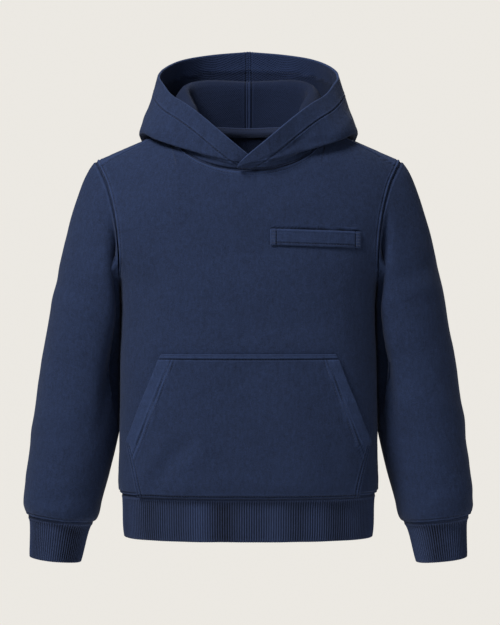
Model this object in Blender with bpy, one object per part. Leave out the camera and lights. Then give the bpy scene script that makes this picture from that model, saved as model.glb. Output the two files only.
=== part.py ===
"""A toddler's pullover hoodie, filled out as it is worn, with nobody in it.

Frame: metres, +Z up, the front faces -Y and the wearer's left is +X. The origin is midway
between the two points where the shoulder seams meet the neck seam, which is where the
garment hangs on its wearer.

Each cut piece of cloth starts as a grid of points on its right side. Rows run up the piece
and columns run anticlockwise round the garment, seen from above. Pieces that are sewn
together share their seam's points, and then each draws back from the seam by half its gap.
"""

import math

import bmesh
import bpy
from mathutils import Vector

MM = 0.001

# Cloth and seams.
FLEECE = 2.0 * MM
RIB = 2.6 * MM
TAPE = 1.0 * MM
SEAM_GAP = 0.4 * MM
LAYER_GAP = 0.35 * MM

# Main lengths, measured down from the neck points.
NECK_HALF_WIDTH = 80 * MM
FRONT_NECK_DROP = 48 * MM
SHOULDER_TIP_X = 160 * MM
SHOULDER_DROP = 35 * MM
UNDERARM_Z = -165 * MM
BAND_SEAM_Z = -383 * MM

# The torso's section is a superellipse, and its top closes over the shoulders.
SQUARENESS = 2.5
CLOSING_HEIGHT = 100 * MM
RIDGE_ROUNDING = 10 * MM

# Half a body panel has columns across its neck and then its shoulder, and rows up its side.
NECK_COLUMNS = 6
SHOULDER_COLUMNS = 6
HALF_COLUMNS = NECK_COLUMNS + SHOULDER_COLUMNS
SIDE_ROWS = 9
ARMHOLE_ROWS = 8
LAST_ROW = SIDE_ROWS + ARMHOLE_ROWS
CAP_RINGS = 5

NAVY = (0.020, 0.031, 0.072, 1.0)
NAVY_RIB = (0.017, 0.026, 0.060, 1.0)

DEGREE_COLUMNS = ("turn", "tilt")


def table(columns, *rows):
    """Rows of millimetres, or degrees in turn and tilt columns, as metres and degrees."""
    names = columns.split()
    scales = [1 if name in DEGREE_COLUMNS else MM for name in names]
    return [{n: v * s for n, v, s in zip(names, row, scales)} for row in rows]


# Level sections of the body from the hem up: half width, and the depth of the front and of
# the back. Above the underarm the half width takes in the upper arm.
TORSO = table(
    "z    half_width front back",
    (-427, 130.3, 68, 65),
    (-415, 131.3, 69, 66),
    (-392, 131.8, 69.5, 66.5),
    (-383, 133.0, 71, 68),
    (-377, 136.3, 74, 71),
    (-345, 135.8, 76, 72),
    (-250, 134.5, 76, 73),
    (-165, 134.5, 74, 74),
    (-133, 148, 71, 75),
    (-100, 157, 68, 75),
    (-58, 164, 63, 73),
    (-20, 168, 61, 71),
    (40, 170, 60, 70),
)
BAND_HEIGHTS = (-427 * MM, -415 * MM, -392 * MM)

# The armhole's line as seen from the front, from the underarm to the shoulder tip.
ARMHOLE = table(
    "z    x",
    (-165, 134.5),
    (-133, 134.3),
    (-100, 137.6),
    (-79, 142),
    (-58, 148.5),
    (-35, 160),
)

# Rings of the left sleeve from its cuff seam up to its cap: the middle of each, its half width
# and half depth, and how far its outer side is tipped up.
SLEEVE = table(
    "z    x     y  half_width half_depth tilt",
    (-410, 197.6, 3, 34.8, 35.5, 6),
    (-406, 197.4, 3, 38.0, 39.0, 7),
    (-400, 196.8, 3, 40.0, 41.0, 7),
    (-385, 195.0, 4, 41.2, 42.5, 8),
    (-350, 188.5, 8, 44, 45, 9),
    (-300, 180, 13, 46.5, 48, 10),
    (-250, 171.5, 16, 48, 50, 12),
    (-200, 162, 16, 49, 52, 17),
)
CAP_START_OUTER = Vector((0.85, 0, -0.53))
CAP_START_INNER = Vector((0.25, 0, -0.97))
CAP_END = Vector((0.19, 0, -0.98))
CAP_START_PULL = 0.4
SLEEVE_CLEARANCE = 1.5 * MM

# Rings of the left cuff below its seam, from its edge up.
CUFF = table(
    "z    x     y  half_width half_depth tilt",
    (-452, 203, 0, 27.0, 26.5, 6),
    (-439, 201.3, 1, 28.4, 28.0, 6),
    (-425, 199.6, 2, 30.0, 30.0, 6),
    (-416, 198.4, 3, 31.8, 32.2, 6),
)

# Stations of the left half of the hood by turn round the neck, from the front lap to the centre
# back: the roll over the neck wall, the fold at the outer foot, and the free rim.
HOOD = table(
    "turn roll_x roll_y roll_z fold_x fold_y fold_z rim_x rim_y rim_z",
    (-8, -10.6, -63, -46.5, -10.8, -64, -45.5, -10.5, -64.5, -43),
    (0, 0, -63, -44, 0, -64.5, -42, 0, -67, -34),
    (20, 26.5, -61, -39.5, 27, -63, -37, 23, -66, -15),
    (45, 54, -48, -27, 59, -53, -28, 50, -52, 9),
    (60, 57, -37, -6, 77, -45, -22, 66, -38, 22),
    (75, 56, -22, 15, 96, -32, -15, 81, -20, 33),
    (90, 61.5, -4, 28, 109, -8, -8.5, 90, -2, 45),
    (110, 67, 15, 40, 111, 25, -15, 96.5, 22, 57),
    (135, 63, 36, 50, 97, 66, -50, 90, 58, 71),
    (150, 46, 46, 54, 78, 79, -82, 72, 84, 82),
    (165, 24, 50, 54, 43, 87, -103, 41, 104, 89.5),
    (180, 0, 51, 53, 0, 90, -109, 0, 113, 94),
)
HOOD_STEP = 90 / NECK_COLUMNS
LAP_TURN = -8
LAP_FADE = (15, 45)
HOOD_LAP = 5.2 * MM
UNDERLAP = 0.4 * MM
ROLL_WIDTH = 10 * MM
FOLD_WIDTH = 13 * MM
FULL_FOLD_HEIGHT = 40 * MM
BAG_BULGE = 8 * MM
BAG_TURNS = (110, 150)

# The pouch pocket: half its width at each height, and the rows between those heights.
POUCH = table(
    "z    half_width",
    (-383, 112),
    (-329, 124),
    (-237, 88),
)
POUCH_STEPS = (2, 5)
POUCH_ROWS = sum(POUCH_STEPS)
POUCH_COLUMNS = 8
POUCH_SHARE = POUCH_COLUMNS / HALF_COLUMNS
POUCH_FADE = (-225 * MM, -170 * MM)

# The chest welt on the wearer's left, with the bars at its ends.
WELT_INNER_X = 23 * MM
WELT_OUTER_X = 114 * MM
WELT_TOP_Z = -109.5 * MM
WELT_HEIGHT = 15 * MM
WELT_SLOPE = math.radians(1.5)
WELT_GAP = 0.5 * MM
WELT_COLUMNS = 8
WELT_ROWS = 2

TAPE_REACH = 4 * MM
TAPE_GAP = 0.7 * MM


def smooth(rows, key, at, column):
    """The value of a table's column at a value of its key, on a smooth curve through the rows."""
    keys = [row[key] for row in rows]
    values = [row[column] for row in rows]
    if at <= keys[0]:
        return values[0]
    if at >= keys[-1]:
        return values[-1]
    i = max(n for n, k in enumerate(keys) if k <= at)

    def slope(n):
        before, after = max(n - 1, 0), min(n + 1, len(keys) - 1)
        return (values[after] - values[before]) / (keys[after] - keys[before])

    span = keys[i + 1] - keys[i]
    t = (at - keys[i]) / span
    return (
        values[i] * (1 + 2 * t) * (1 - t) ** 2
        + values[i + 1] * t * t * (3 - 2 * t)
        + slope(i) * span * t * (1 - t) ** 2
        - slope(i + 1) * span * t * t * (1 - t)
    )


def straight(rows, at, column):
    """The value of a column at a height, on straight lines between the rows."""
    at = min(max(at, rows[0]["z"]), rows[-1]["z"])
    low, high = next(pair for pair in zip(rows, rows[1:]) if at <= pair[1]["z"])
    share = (at - low["z"]) / (high["z"] - low["z"])
    return low[column] + (high[column] - low[column]) * share


def ramp(value, start, end):
    """0 at or before the start, 1 at or past the end, and a straight line between."""
    return min(max((value - start) / (end - start), 0), 1)


def half_width(z):
    return smooth(TORSO, "z", z, "half_width")


def ridge(x):
    """Height of the shoulder line at a distance from the centre."""
    slope = SHOULDER_DROP / (SHOULDER_TIP_X - NECK_HALF_WIDTH)
    return slope * (math.hypot(NECK_HALF_WIDTH, RIDGE_ROUNDING) - math.hypot(x, RIDGE_ROUNDING))


def body_depth(x, z, side):
    """How far the cloth is from the middle plane, on the front or the back of the body."""
    below = ridge(x) - z
    if below <= 0:
        return 0.0
    across = min(abs(x) / half_width(z), 1.0)
    section = (1 - across**SQUARENESS) ** (1 / SQUARENESS)
    closing = math.sqrt(1 - max(1 - below / CLOSING_HEIGHT, 0) ** 2)
    return smooth(TORSO, "z", z, side) * section * closing


def body_point(x, z, side):
    way = -1 if side == "front" else 1
    return Vector((x, way * body_depth(x, z, side), z))


def turn_of(x, z):
    """Quarter-turn share of a point on its section: 0 at the centre, 1 at the side seam."""
    across = min(abs(x) / half_width(z), 1.0)
    return math.asin(across ** (SQUARENESS / 2)) / (math.pi / 2)


def x_of(turn, z):
    return half_width(z) * math.sin(turn * math.pi / 2) ** (2 / SQUARENESS)


def neck_place(turn):
    """(x, z) of the neck seam at a turn in degrees from the front centre to the back centre."""
    angle = math.radians(turn)
    drop = FRONT_NECK_DROP if turn < 90 else 0.0
    return NECK_HALF_WIDTH * math.sin(angle), -drop * math.cos(angle)


def centre_heights(side):
    """Heights of a panel's rows at its centre, with rows at the pouch's corners and its top."""
    heights = [POUCH[0]["z"]]
    for low, high, steps in zip(POUCH, POUCH[1:], POUCH_STEPS):
        rise = (high["z"] - low["z"]) / steps
        heights += [low["z"] + rise * step for step in range(1, steps + 1)]
    top = -FRONT_NECK_DROP if side == "front" else 0.0
    rows_left = LAST_ROW - POUCH_ROWS
    rise = (top - heights[-1]) / rows_left
    return heights + [heights[-1] + rise * row for row in range(1, rows_left + 1)]


def side_edge():
    """Points (turn, z) up a panel's edge: the side seam and then the armhole."""
    rise = UNDERARM_Z - BAND_SEAM_Z
    edge = [(1.0, BAND_SEAM_Z + rise * row / SIDE_ROWS) for row in range(SIDE_ROWS)]
    reach = ridge(SHOULDER_TIP_X) - UNDERARM_Z
    for row in range(ARMHOLE_ROWS + 1):
        z = UNDERARM_Z + reach * (0.5 - 0.5 * math.cos(math.pi * row / ARMHOLE_ROWS))
        edge.append((turn_of(smooth(ARMHOLE, "z", z, "x"), z), z))
    return edge


def top_edge(side):
    """Points (turn, z) along a panel's neckline and then its shoulder seam."""
    edge = []
    for column in range(NECK_COLUMNS):
        turn = HOOD_STEP * column
        x, z = neck_place(turn if side == "front" else 180 - turn)
        edge.append((turn_of(x, z), z))
    for column in range(SHOULDER_COLUMNS + 1):
        share = column / SHOULDER_COLUMNS
        x = NECK_HALF_WIDTH + (SHOULDER_TIP_X - NECK_HALF_WIDTH) * share
        edge.append((turn_of(x, ridge(x)), ridge(x)))
    return edge


def follow_pouch(turn, u, z):
    """Shifts a column so that one of them lies on the pouch's outline, up to its top."""
    wanted = turn_of(straight(POUCH, z, "half_width"), z)
    share = u / POUCH_SHARE if u <= POUCH_SHARE else (1 - u) / (1 - POUCH_SHARE)
    return turn + (1 - ramp(z, *POUCH_FADE)) * share * (wanted - POUCH_SHARE)


def half_panel(side):
    """Rows of points on the left half of a body panel, from the waistband's seam to the top.

    Up to the pouch's top the rows run level as far as the pouch's edge. Above it, the grid
    stretches evenly between its centre line, its armhole, its neckline and its shoulder.
    """
    centres, sides, tops = centre_heights(side), side_edge(), top_edge(side)
    end_turn, end_z = tops[-1]
    rows = []
    for row, (centre_z, (side_turn, side_z)) in enumerate(zip(centres, sides)):
        free = ramp(row, POUCH_ROWS, LAST_ROW)
        points = []
        for column, (top_turn, top_z) in enumerate(tops):
            u = column / HALF_COLUMNS
            held = ramp(u, POUCH_SHARE, 1)
            share = held + (u - held) * free
            z = centre_z + (side_z - centre_z) * share
            z += free * (top_z - tops[0][1] - (end_z - tops[0][1]) * u)
            turn = u + free * (top_turn - u) + u * (side_turn - 1 - free * (end_turn - 1))
            turn = follow_pouch(turn, u, z)
            x = x_of(min(max(turn, 0), 1), z)
            if row == LAST_ROW and column >= NECK_COLUMNS:
                points.append(Vector((x, 0, z)))
            else:
                points.append(body_point(x, z, side))
        rows.append(points)
    return rows


def mirrored(grid):
    """The same grid on the other side, its columns still running anticlockwise."""
    return [[Vector((-p.x, p.y, p.z)) for p in reversed(row)] for row in grid]


def body_panel(side):
    """The whole panel. The back's columns run from the wearer's left to their right."""
    left = half_panel(side)
    if side == "back":
        left = [list(reversed(row)) for row in left]
        return [a + b[1:] for a, b in zip(left, mirrored(left))]
    return [a[:-1] + b for a, b in zip(mirrored(left), left)]


def waistband(front, back):
    """Rings of the band under the panels' lower edges, its top ring on the seam itself."""
    seam = front[0] + back[0][1:-1]
    rows = []
    for z in BAND_HEIGHTS:
        ring = []
        for point in seam:
            side = "back" if point.y > 0 else "front"
            x = math.copysign(x_of(turn_of(point.x, BAND_SEAM_Z), z), point.x)
            ring.append(body_point(x, z, side))
        rows.append(ring)
    return rows + [seam]


def clear_of_body(point):
    """Moves a point of the left sleeve outwards until it clears the side of the body."""
    if point.z > UNDERARM_Z:
        return point
    side = "front" if point.y < 0 else "back"
    share = min(abs(point.y) / smooth(TORSO, "z", point.z, side), 1)
    edge = half_width(point.z) * (1 - share**SQUARENESS) ** (1 / SQUARENESS)
    return Vector((max(point.x, edge + SLEEVE_CLEARANCE), point.y, point.z))


def ring(row, count):
    """A tipped ellipse of points, from its outer side round by the back."""
    tilt = math.radians(row["tilt"])
    middle = Vector((row["x"], row["y"], row["z"]))
    across = Vector((math.cos(tilt), 0, math.sin(tilt))) * row["half_width"]
    through = Vector((0, row["half_depth"], 0))
    angles = [2 * math.pi * n / count for n in range(count)]
    return [middle + across * math.cos(a) + through * math.sin(a) for a in angles]


def sleeve(front, back):
    """The left sleeve's rings, from its cuff seam up to the armhole."""
    down_back = [row[0] for row in reversed(back[SIDE_ROWS:])]
    up_front = [row[-1] for row in front[SIDE_ROWS + 1 : -1]]
    armhole = down_back + up_front
    count = len(armhole)
    rows = [[clear_of_body(p) for p in ring(row, count)] for row in SLEEVE]
    for step in range(CAP_RINGS - 1, 0, -1):
        t = step / CAP_RINGS
        points = []
        for n, (start, end) in enumerate(zip(armhole, rows[len(SLEEVE) - 1])):
            outer = 0.5 + 0.5 * math.cos(2 * math.pi * n / count)
            leave = CAP_START_INNER.lerp(CAP_START_OUTER, outer) * CAP_START_PULL
            chord = (end - start).length
            point = start * ((1 + 2 * t) * (1 - t) ** 2) + end * (t * t * (3 - 2 * t))
            point += (leave * (t * (1 - t) ** 2) - CAP_END * (t * t * (1 - t))) * chord
            points.append(clear_of_body(point))
        rows.append(points)
    return rows + [armhole]


def cuff(seam):
    """The left cuff's rings, from its edge up to the sleeve's lower end."""
    return [ring(row, len(seam)) for row in CUFF] + [seam]


def place(turn, name):
    """A hood station's roll, fold or rim point."""
    return Vector([smooth(HOOD, "turn", turn, f"{name}_{axis}") for axis in "xyz"])


def rounded(points):
    """The polyline with each corner cut once."""
    cut = [points[0]]
    for a, b in zip(points, points[1:]):
        cut += [a.lerp(b, 0.25), a.lerp(b, 0.75)]
    return cut + [points[-1]]


def hood_station(turn, seam, lap):
    """Points from the neck seam up over the roll, down to the fold and up to the rim."""
    roll, fold, rim = (place(turn, name) for name in ("roll", "fold", "rim"))
    out = (fold - roll) * Vector((1, 1, 0))
    out.normalize()
    fullness = min((fold - roll).length / FULL_FOLD_HEIGHT, 1)
    half_roll = out * (ROLL_WIDTH / 2 * fullness)
    half_fold = out * (FOLD_WIDTH / 2 * fullness)
    bulge = out * (BAG_BULGE * ramp(turn, *BAG_TURNS))
    up, over = roll - half_roll, roll + half_roll
    down, back_up = fold - half_fold, fold + half_fold
    corners = [seam, seam.lerp(up, 0.5), up, over]
    corners += [over.lerp(down, 1 / 3), over.lerp(down, 2 / 3), down, back_up]
    corners += [back_up.lerp(rim, 1 / 3) + bulge, back_up.lerp(rim, 2 / 3) + bulge, rim]
    shift = Vector((0, -lap * (1 - ramp(turn, *LAP_FADE)), 0))
    return [point + shift for point in rounded(corners)]


def hood_half(front, back, lap):
    """The left half of the hood on the neck seam's points, with its front lapped over."""
    centre = HALF_COLUMNS
    past_centre = -LAP_TURN / HOOD_STEP
    seam = {LAP_TURN: front[-1][centre].lerp(front[-1][centre - 1], past_centre)}
    for column in range(NECK_COLUMNS + 1):
        seam[HOOD_STEP * column] = front[-1][centre + column]
        seam[180 - HOOD_STEP * column] = back[-1][centre - column]
    stations = [hood_station(turn, seam[turn], lap) for turn in sorted(seam)]
    return [list(row) for row in zip(*stations)]


def chest_welt():
    """The welt's grid on the front's own curve."""
    width = WELT_OUTER_X - WELT_INNER_X
    rows = []
    for row in range(WELT_ROWS + 1):
        drop = WELT_HEIGHT * (1 - row / WELT_ROWS)
        points = []
        for column in range(WELT_COLUMNS + 1):
            run = width * column / WELT_COLUMNS
            z = WELT_TOP_Z - drop - run * math.tan(WELT_SLOPE)
            points.append(body_point(WELT_INNER_X + run, z, "front"))
        rows.append(points)
    return rows


def cells(grid, closed):
    """Index pairs of each cell's four corners, in order round its right side."""
    columns = len(grid[0])
    for r in range(len(grid) - 1):
        for c in range(columns if closed else columns - 1):
            d = (c + 1) % columns
            yield (r, c), (r, d), (r + 1, d), (r + 1, c)


def halves(grid, cell):
    """A cell's two triangles, cut the same way in every layer and the other way on the right."""
    a, b, c, d = cell
    if sum(grid[row][column].x for row, column in cell) > 0:
        return (a, b, c), (a, c, d)
    return (a, b, d), (b, c, d)


def spot(point):
    """A key that is the same for every sheet with a point at this place."""
    return tuple(round(value, 7) for value in point)


def shared_normals(sheets):
    """Unit normals by point, each the mean over every cell of every sheet that meets there."""
    sums = {}
    for grid, closed in sheets:
        for cell in cells(grid, closed):
            a, b, c, d = (grid[r][col] for r, col in cell)
            normal = (c - a).cross(d - b)
            for point in (a, b, c, d):
                key = spot(point)
                sums[key] = sums.get(key, Vector()) + normal
    return {key: total.normalized() for key, total in sums.items()}


def moved(grid, normals, distance):
    return [[p + normals[spot(p)] * distance for p in row] for row in grid]


def drawn_back(grid, edges):
    """The grid with the named edges drawn back from their seams by half the gap."""
    result = [[p.copy() for p in row] for row in grid]

    def draw(point, target, start):
        point += (target - start).normalized() * (SEAM_GAP / 2)

    if "bottom" in edges:
        for c, point in enumerate(result[0]):
            draw(point, grid[1][c], grid[0][c])
    if "top" in edges:
        for c, point in enumerate(result[-1]):
            draw(point, grid[-2][c], grid[-1][c])
    if "start" in edges:
        for row, source in zip(result, grid):
            draw(row[0], source[1], source[0])
    if "end" in edges:
        for row, source in zip(result, grid):
            draw(row[-1], source[-2], source[-1])
    return result


def add_wall(name, right, wrong, colour, closed=False):
    """One closed body between a sheet's right side and its wrong side."""
    bm = bmesh.new()
    faces = [[[bm.verts.new(p) for p in row] for row in grid] for grid in (right, wrong)]
    for cell in cells(right, closed):
        for triangle in halves(right, cell):
            bm.faces.new([faces[0][r][c] for r, c in triangle])
            bm.faces.new([faces[1][r][c] for r, c in reversed(triangle)])
    rows, columns = len(right), len(right[0])
    for c in range(columns if closed else columns - 1):
        d = (c + 1) % columns
        bm.faces.new([faces[1][0][c], faces[1][0][d], faces[0][0][d], faces[0][0][c]])
        bm.faces.new([faces[0][-1][c], faces[0][-1][d], faces[1][-1][d], faces[1][-1][c]])
    if not closed:
        for r in range(rows - 1):
            start = [faces[0][r][0], faces[0][r + 1][0], faces[1][r + 1][0], faces[1][r][0]]
            end = [faces[1][r][-1], faces[1][r + 1][-1], faces[0][r + 1][-1], faces[0][r][-1]]
            bm.faces.new(start)
            bm.faces.new(end)
    mesh = bpy.data.meshes.new(name)
    bm.to_mesh(mesh)
    bm.free()
    mesh.shade_smooth()
    mesh.set_sharp_from_angle(angle=math.radians(50))
    obj = bpy.data.objects.new(name, mesh)
    bpy.context.scene.collection.objects.link(obj)
    material = bpy.data.materials.new(name)
    material.use_nodes = True
    shader = material.node_tree.nodes["Principled BSDF"]
    shader.inputs["Base Color"].default_value = colour
    shader.inputs["Roughness"].default_value = 0.9
    shader.inputs["Metallic"].default_value = 0.0
    mesh.materials.append(material)
    return obj


def sewn(name, grid, normals, thickness, colour, edges, closed=False):
    """A sewn piece: its wall lies inside its right side."""
    wrong = moved(grid, normals, -thickness)
    add_wall(name, drawn_back(grid, edges), drawn_back(wrong, edges), colour, closed)


def laid_on(name, grid, normals, gap, colour, edges=()):
    """A piece that lies on another's right side, a gap away from it."""
    wrong = moved(grid, normals, gap)
    right = moved(grid, normals, gap + FLEECE)
    add_wall(name, drawn_back(right, edges), drawn_back(wrong, edges), colour)


def neck_tape(back, left_hood, right_hood, normals):
    """The tape that covers the back neck seam inside, from one shoulder seam to the other."""
    span = range(HALF_COLUMNS - NECK_COLUMNS, HALF_COLUMNS + NECK_COLUMNS + 1)
    above_left = left_hood[1][-NECK_COLUMNS - 1 :]
    above_right = right_hood[1][: NECK_COLUMNS + 1]
    above = above_left + above_right[1:]
    rows = ([], [], [])
    facing = ([], [], [])
    for column, upper in zip(span, above):
        seam, lower = back[-1][column], back[-2][column]
        for n, target in enumerate((lower, seam, upper)):
            share = min(TAPE_REACH / (target - seam).length, 1) if target is not seam else 0
            normal = normals[spot(seam)].lerp(normals[spot(target)], share)
            rows[n].append(seam.lerp(target, share) - normal * (FLEECE + TAPE_GAP))
            facing[n].append(normal)
    wrong = [[p - n * TAPE for p, n in zip(*pair)] for pair in zip(rows, facing)]
    add_wall("neck_tape", list(rows), wrong, NAVY)


def clear_scene():
    for obj in list(bpy.data.objects):
        bpy.data.objects.remove(obj, do_unlink=True)


def build():
    clear_scene()
    front, back = body_panel("front"), body_panel("back")
    band = waistband(front, back)
    sleeve_left = sleeve(front, back)
    sleeve_right = mirrored(sleeve_left)
    cuff_left = cuff(sleeve_left[0])
    cuff_right = mirrored(cuff_left)
    hood_left = hood_half(front, back, HOOD_LAP)
    hood_right = mirrored(hood_half(front, back, -UNDERLAP))
    tubes = (band, sleeve_left, sleeve_right, cuff_left, cuff_right)
    panels = (front, back, hood_left, hood_right)
    normals = shared_normals([(g, False) for g in panels] + [(g, True) for g in tubes])

    edges = ("bottom", "top", "start", "end")
    sewn("front_panel", front, normals, FLEECE, NAVY, edges)
    sewn("back_panel", back, normals, FLEECE, NAVY, edges)
    sewn("waistband", band, normals, RIB, NAVY_RIB, ("top",), closed=True)
    for name, arm, end in (("left", sleeve_left, cuff_left), ("right", sleeve_right, cuff_right)):
        sewn(f"sleeve_{name}", arm, normals, FLEECE, NAVY, ("bottom", "top"), closed=True)
        sewn(f"cuff_{name}", end, normals, RIB, NAVY_RIB, ("top",), closed=True)
    sewn("hood_left", hood_left, normals, FLEECE, NAVY, ("bottom", "end"))
    sewn("hood_right", hood_right, normals, FLEECE, NAVY, ("bottom", "start"))

    columns = slice(HALF_COLUMNS - POUCH_COLUMNS, HALF_COLUMNS + POUCH_COLUMNS + 1)
    pouch = [row[columns] for row in front[: POUCH_ROWS + 1]]
    laid_on("pouch_pocket", pouch, normals, LAYER_GAP, NAVY, ("bottom",))
    welt = chest_welt()
    laid_on("chest_welt", welt, shared_normals([(welt, False)]), WELT_GAP, NAVY)
    neck_tape(back, hood_left, hood_right, normals)


if __name__ == "__main__":
    build()
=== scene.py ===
"""A toddler's pullover hoodie in navy brushed fleece, filled out as it is worn.

Run as a script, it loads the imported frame, makes every piece of cloth as a thin shell on its
solid's form, with its seams, hems, ribs and stitches, and sets up a pale studio. In metres,
+Z up, the front faces -Y and the wearer's left is +X. Lengths in tables are millimetres of
the drafted size, and MM turns them into the frame's own metres.
"""

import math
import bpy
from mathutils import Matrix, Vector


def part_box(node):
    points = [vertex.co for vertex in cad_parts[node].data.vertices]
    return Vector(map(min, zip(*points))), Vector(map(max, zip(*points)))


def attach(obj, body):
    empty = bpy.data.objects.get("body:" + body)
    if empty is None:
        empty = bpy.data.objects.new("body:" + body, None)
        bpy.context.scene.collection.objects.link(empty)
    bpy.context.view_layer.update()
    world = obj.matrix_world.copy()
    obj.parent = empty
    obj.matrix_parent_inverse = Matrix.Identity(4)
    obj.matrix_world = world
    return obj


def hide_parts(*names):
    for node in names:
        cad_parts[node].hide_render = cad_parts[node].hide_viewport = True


bl_info = {
    "name": "Toddler Hoodie",
    "version": (1, 0, 0),
    "blender": (4, 5, 0),
    "location": "View3D > Sidebar > Hoodie",
    "description": "Sews a hooded sweatshirt in brushed fleece around its frame",
    "category": "Add Mesh",
}

import bpy
import numpy as np
from bpy.props import FloatProperty, FloatVectorProperty, PointerProperty
from mathutils import Vector

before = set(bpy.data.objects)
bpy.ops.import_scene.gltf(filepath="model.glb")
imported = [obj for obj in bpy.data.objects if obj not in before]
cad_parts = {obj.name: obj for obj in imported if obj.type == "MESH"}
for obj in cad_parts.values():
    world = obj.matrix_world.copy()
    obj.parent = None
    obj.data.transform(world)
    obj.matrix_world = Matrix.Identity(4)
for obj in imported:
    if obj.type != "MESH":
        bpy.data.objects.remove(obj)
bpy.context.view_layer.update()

# The drafted size, and the frame's scale against it.
DRAFTED_HEM_DROP = 427
MM = -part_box("waistband")[0].z / DRAFTED_HEM_DROP

NECK_HALF_WIDTH = 80
FRONT_NECK_DROP = 48
SHOULDER_TIP_X = 160
SHOULDER_DROP = 35
UNDERARM_Z = -165
BAND_SEAM_Z = -383
HEM_Z = -DRAFTED_HEM_DROP
SQUARENESS = 2.5
TURN = 2 * math.pi
CLOSING_HEIGHT = 100
RIDGE_ROUNDING = 10

SIDE_SHARE = 9 / 17
FREE_ABOVE = 7 / 17

CAP_START_OUTER = np.array((0.85, 0, -0.53))
CAP_START_INNER = np.array((0.25, 0, -0.97))
CAP_END = np.array((0.19, 0, -0.98))
CAP_START_PULL = 0.4
SLEEVE_CLEARANCE = 1.5

# How far each cloth stops short of its seams, to leave room for its rounded edge.
SEAM_EASE = 0.55

# A hood half runs by degrees from its lapped front to its centre seam behind.
HOOD_TURNS = (-8, 180)
LAP_FADE = (15, 45)
HOOD_LAP = 5.2
UNDERLAP = 0.4
ROLL_WIDTH = 10
FOLD_WIDTH = 13
FULL_FOLD_HEIGHT = 40
BAG_BULGE = 8
BAG_TURNS = (110, 150)


class Table:
    """A table with named columns, read as smooth curves or straight lines through its rows."""

    def __init__(self, columns, *rows):
        names = columns.split()
        self.key = names[0]
        self.columns = {name: np.array(values, float) for name, values in zip(names, zip(*rows))}
        self.rows = [dict(zip(names, row)) for row in rows]

    def smooth(self, at, column):
        keys, values = self.columns[self.key], self.columns[column]
        after = np.minimum(np.arange(len(keys)) + 1, len(keys) - 1)
        before = np.maximum(np.arange(len(keys)) - 1, 0)
        slopes = (values[after] - values[before]) / (keys[after] - keys[before])
        at = np.clip(at, keys[0], keys[-1])
        i = np.clip(np.searchsorted(keys, at, side="right") - 1, 0, len(keys) - 2)
        span = keys[i + 1] - keys[i]
        t = (at - keys[i]) / span
        return (
            values[i] * (1 + 2 * t) * (1 - t) ** 2
            + values[i + 1] * t * t * (3 - 2 * t)
            + slopes[i] * span * t * (1 - t) ** 2
            - slopes[i + 1] * span * t * t * (1 - t)
        )

    def straight(self, at, column):
        return np.interp(at, self.columns[self.key], self.columns[column])


TORSO = Table(
    "z    half_width front back",
    (-427, 130.3, 68, 65),
    (-415, 131.3, 69, 66),
    (-392, 131.8, 69.5, 66.5),
    (-383, 133.0, 71, 68),
    (-377, 136.3, 74, 71),
    (-345, 135.8, 76, 72),
    (-250, 134.5, 76, 73),
    (-165, 134.5, 74, 74),
    (-133, 148, 71, 75),
    (-100, 157, 68, 75),
    (-58, 164, 63, 73),
    (-20, 168, 61, 71),
    (40, 170, 60, 70),
)
ARMHOLE = Table(
    "z    x",
    (-165, 134.5),
    (-133, 134.3),
    (-100, 137.6),
    (-79, 142),
    (-58, 148.5),
    (-35, 160),
)
SLEEVE = Table(
    "z    x     y  half_width half_depth tilt",
    (-410, 197.6, 3, 34.8, 35.5, 6),
    (-406, 197.4, 3, 38.0, 39.0, 7),
    (-400, 196.8, 3, 40.0, 41.0, 7),
    (-385, 195.0, 4, 41.2, 42.5, 8),
    (-350, 188.5, 8, 44, 45, 9),
    (-300, 180, 13, 46.5, 48, 10),
    (-250, 171.5, 16, 48, 50, 12),
    (-200, 162, 16, 49, 52, 17),
)
CUFF = Table(
    "z    x     y  half_width half_depth tilt",
    (-452, 203, 0, 27.0, 26.5, 6),
    (-439, 201.3, 1, 28.4, 28.0, 6),
    (-425, 199.6, 2, 30.0, 30.0, 6),
    (-416, 198.4, 3, 31.8, 32.2, 6),
    (-410, 197.6, 3, 34.8, 35.5, 6),
)
HOOD = Table(
    "turn roll_x roll_y roll_z fold_x fold_y fold_z rim_x rim_y rim_z",
    (-8, -10.6, -63, -46.5, -10.8, -64, -45.5, -10.5, -64.5, -43),
    (0, 0, -63, -44, 0, -64.5, -42, 0, -67, -34),
    (20, 26.5, -61, -39.5, 27, -63, -37, 23, -66, -15),
    (45, 54, -48, -27, 59, -53, -28, 50, -52, 9),
    (60, 57, -37, -6, 77, -45, -22, 66, -38, 22),
    (75, 56, -22, 15, 96, -32, -15, 81, -20, 33),
    (90, 61.5, -4, 28, 109, -8, -8.5, 90, -2, 45),
    (110, 67, 15, 40, 111, 25, -15, 96.5, 22, 57),
    (135, 63, 36, 50, 97, 66, -50, 90, 58, 71),
    (150, 46, 46, 54, 78, 79, -82, 72, 84, 82),
    (165, 24, 50, 54, 43, 87, -103, 41, 104, 89.5),
    (180, 0, 51, 53, 0, 90, -109, 0, 113, 94),
)
POUCH = Table(
    "z    half_width",
    (-383, 112),
    (-329, 124),
    (-237, 88),
)

# The chest welt with its end bars, and the slit above it.
WELT = {"inner_x": 23, "outer_x": 114, "top_z": -109.5, "height": 15, "slope": 1.5, "bar": 5.2}

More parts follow.
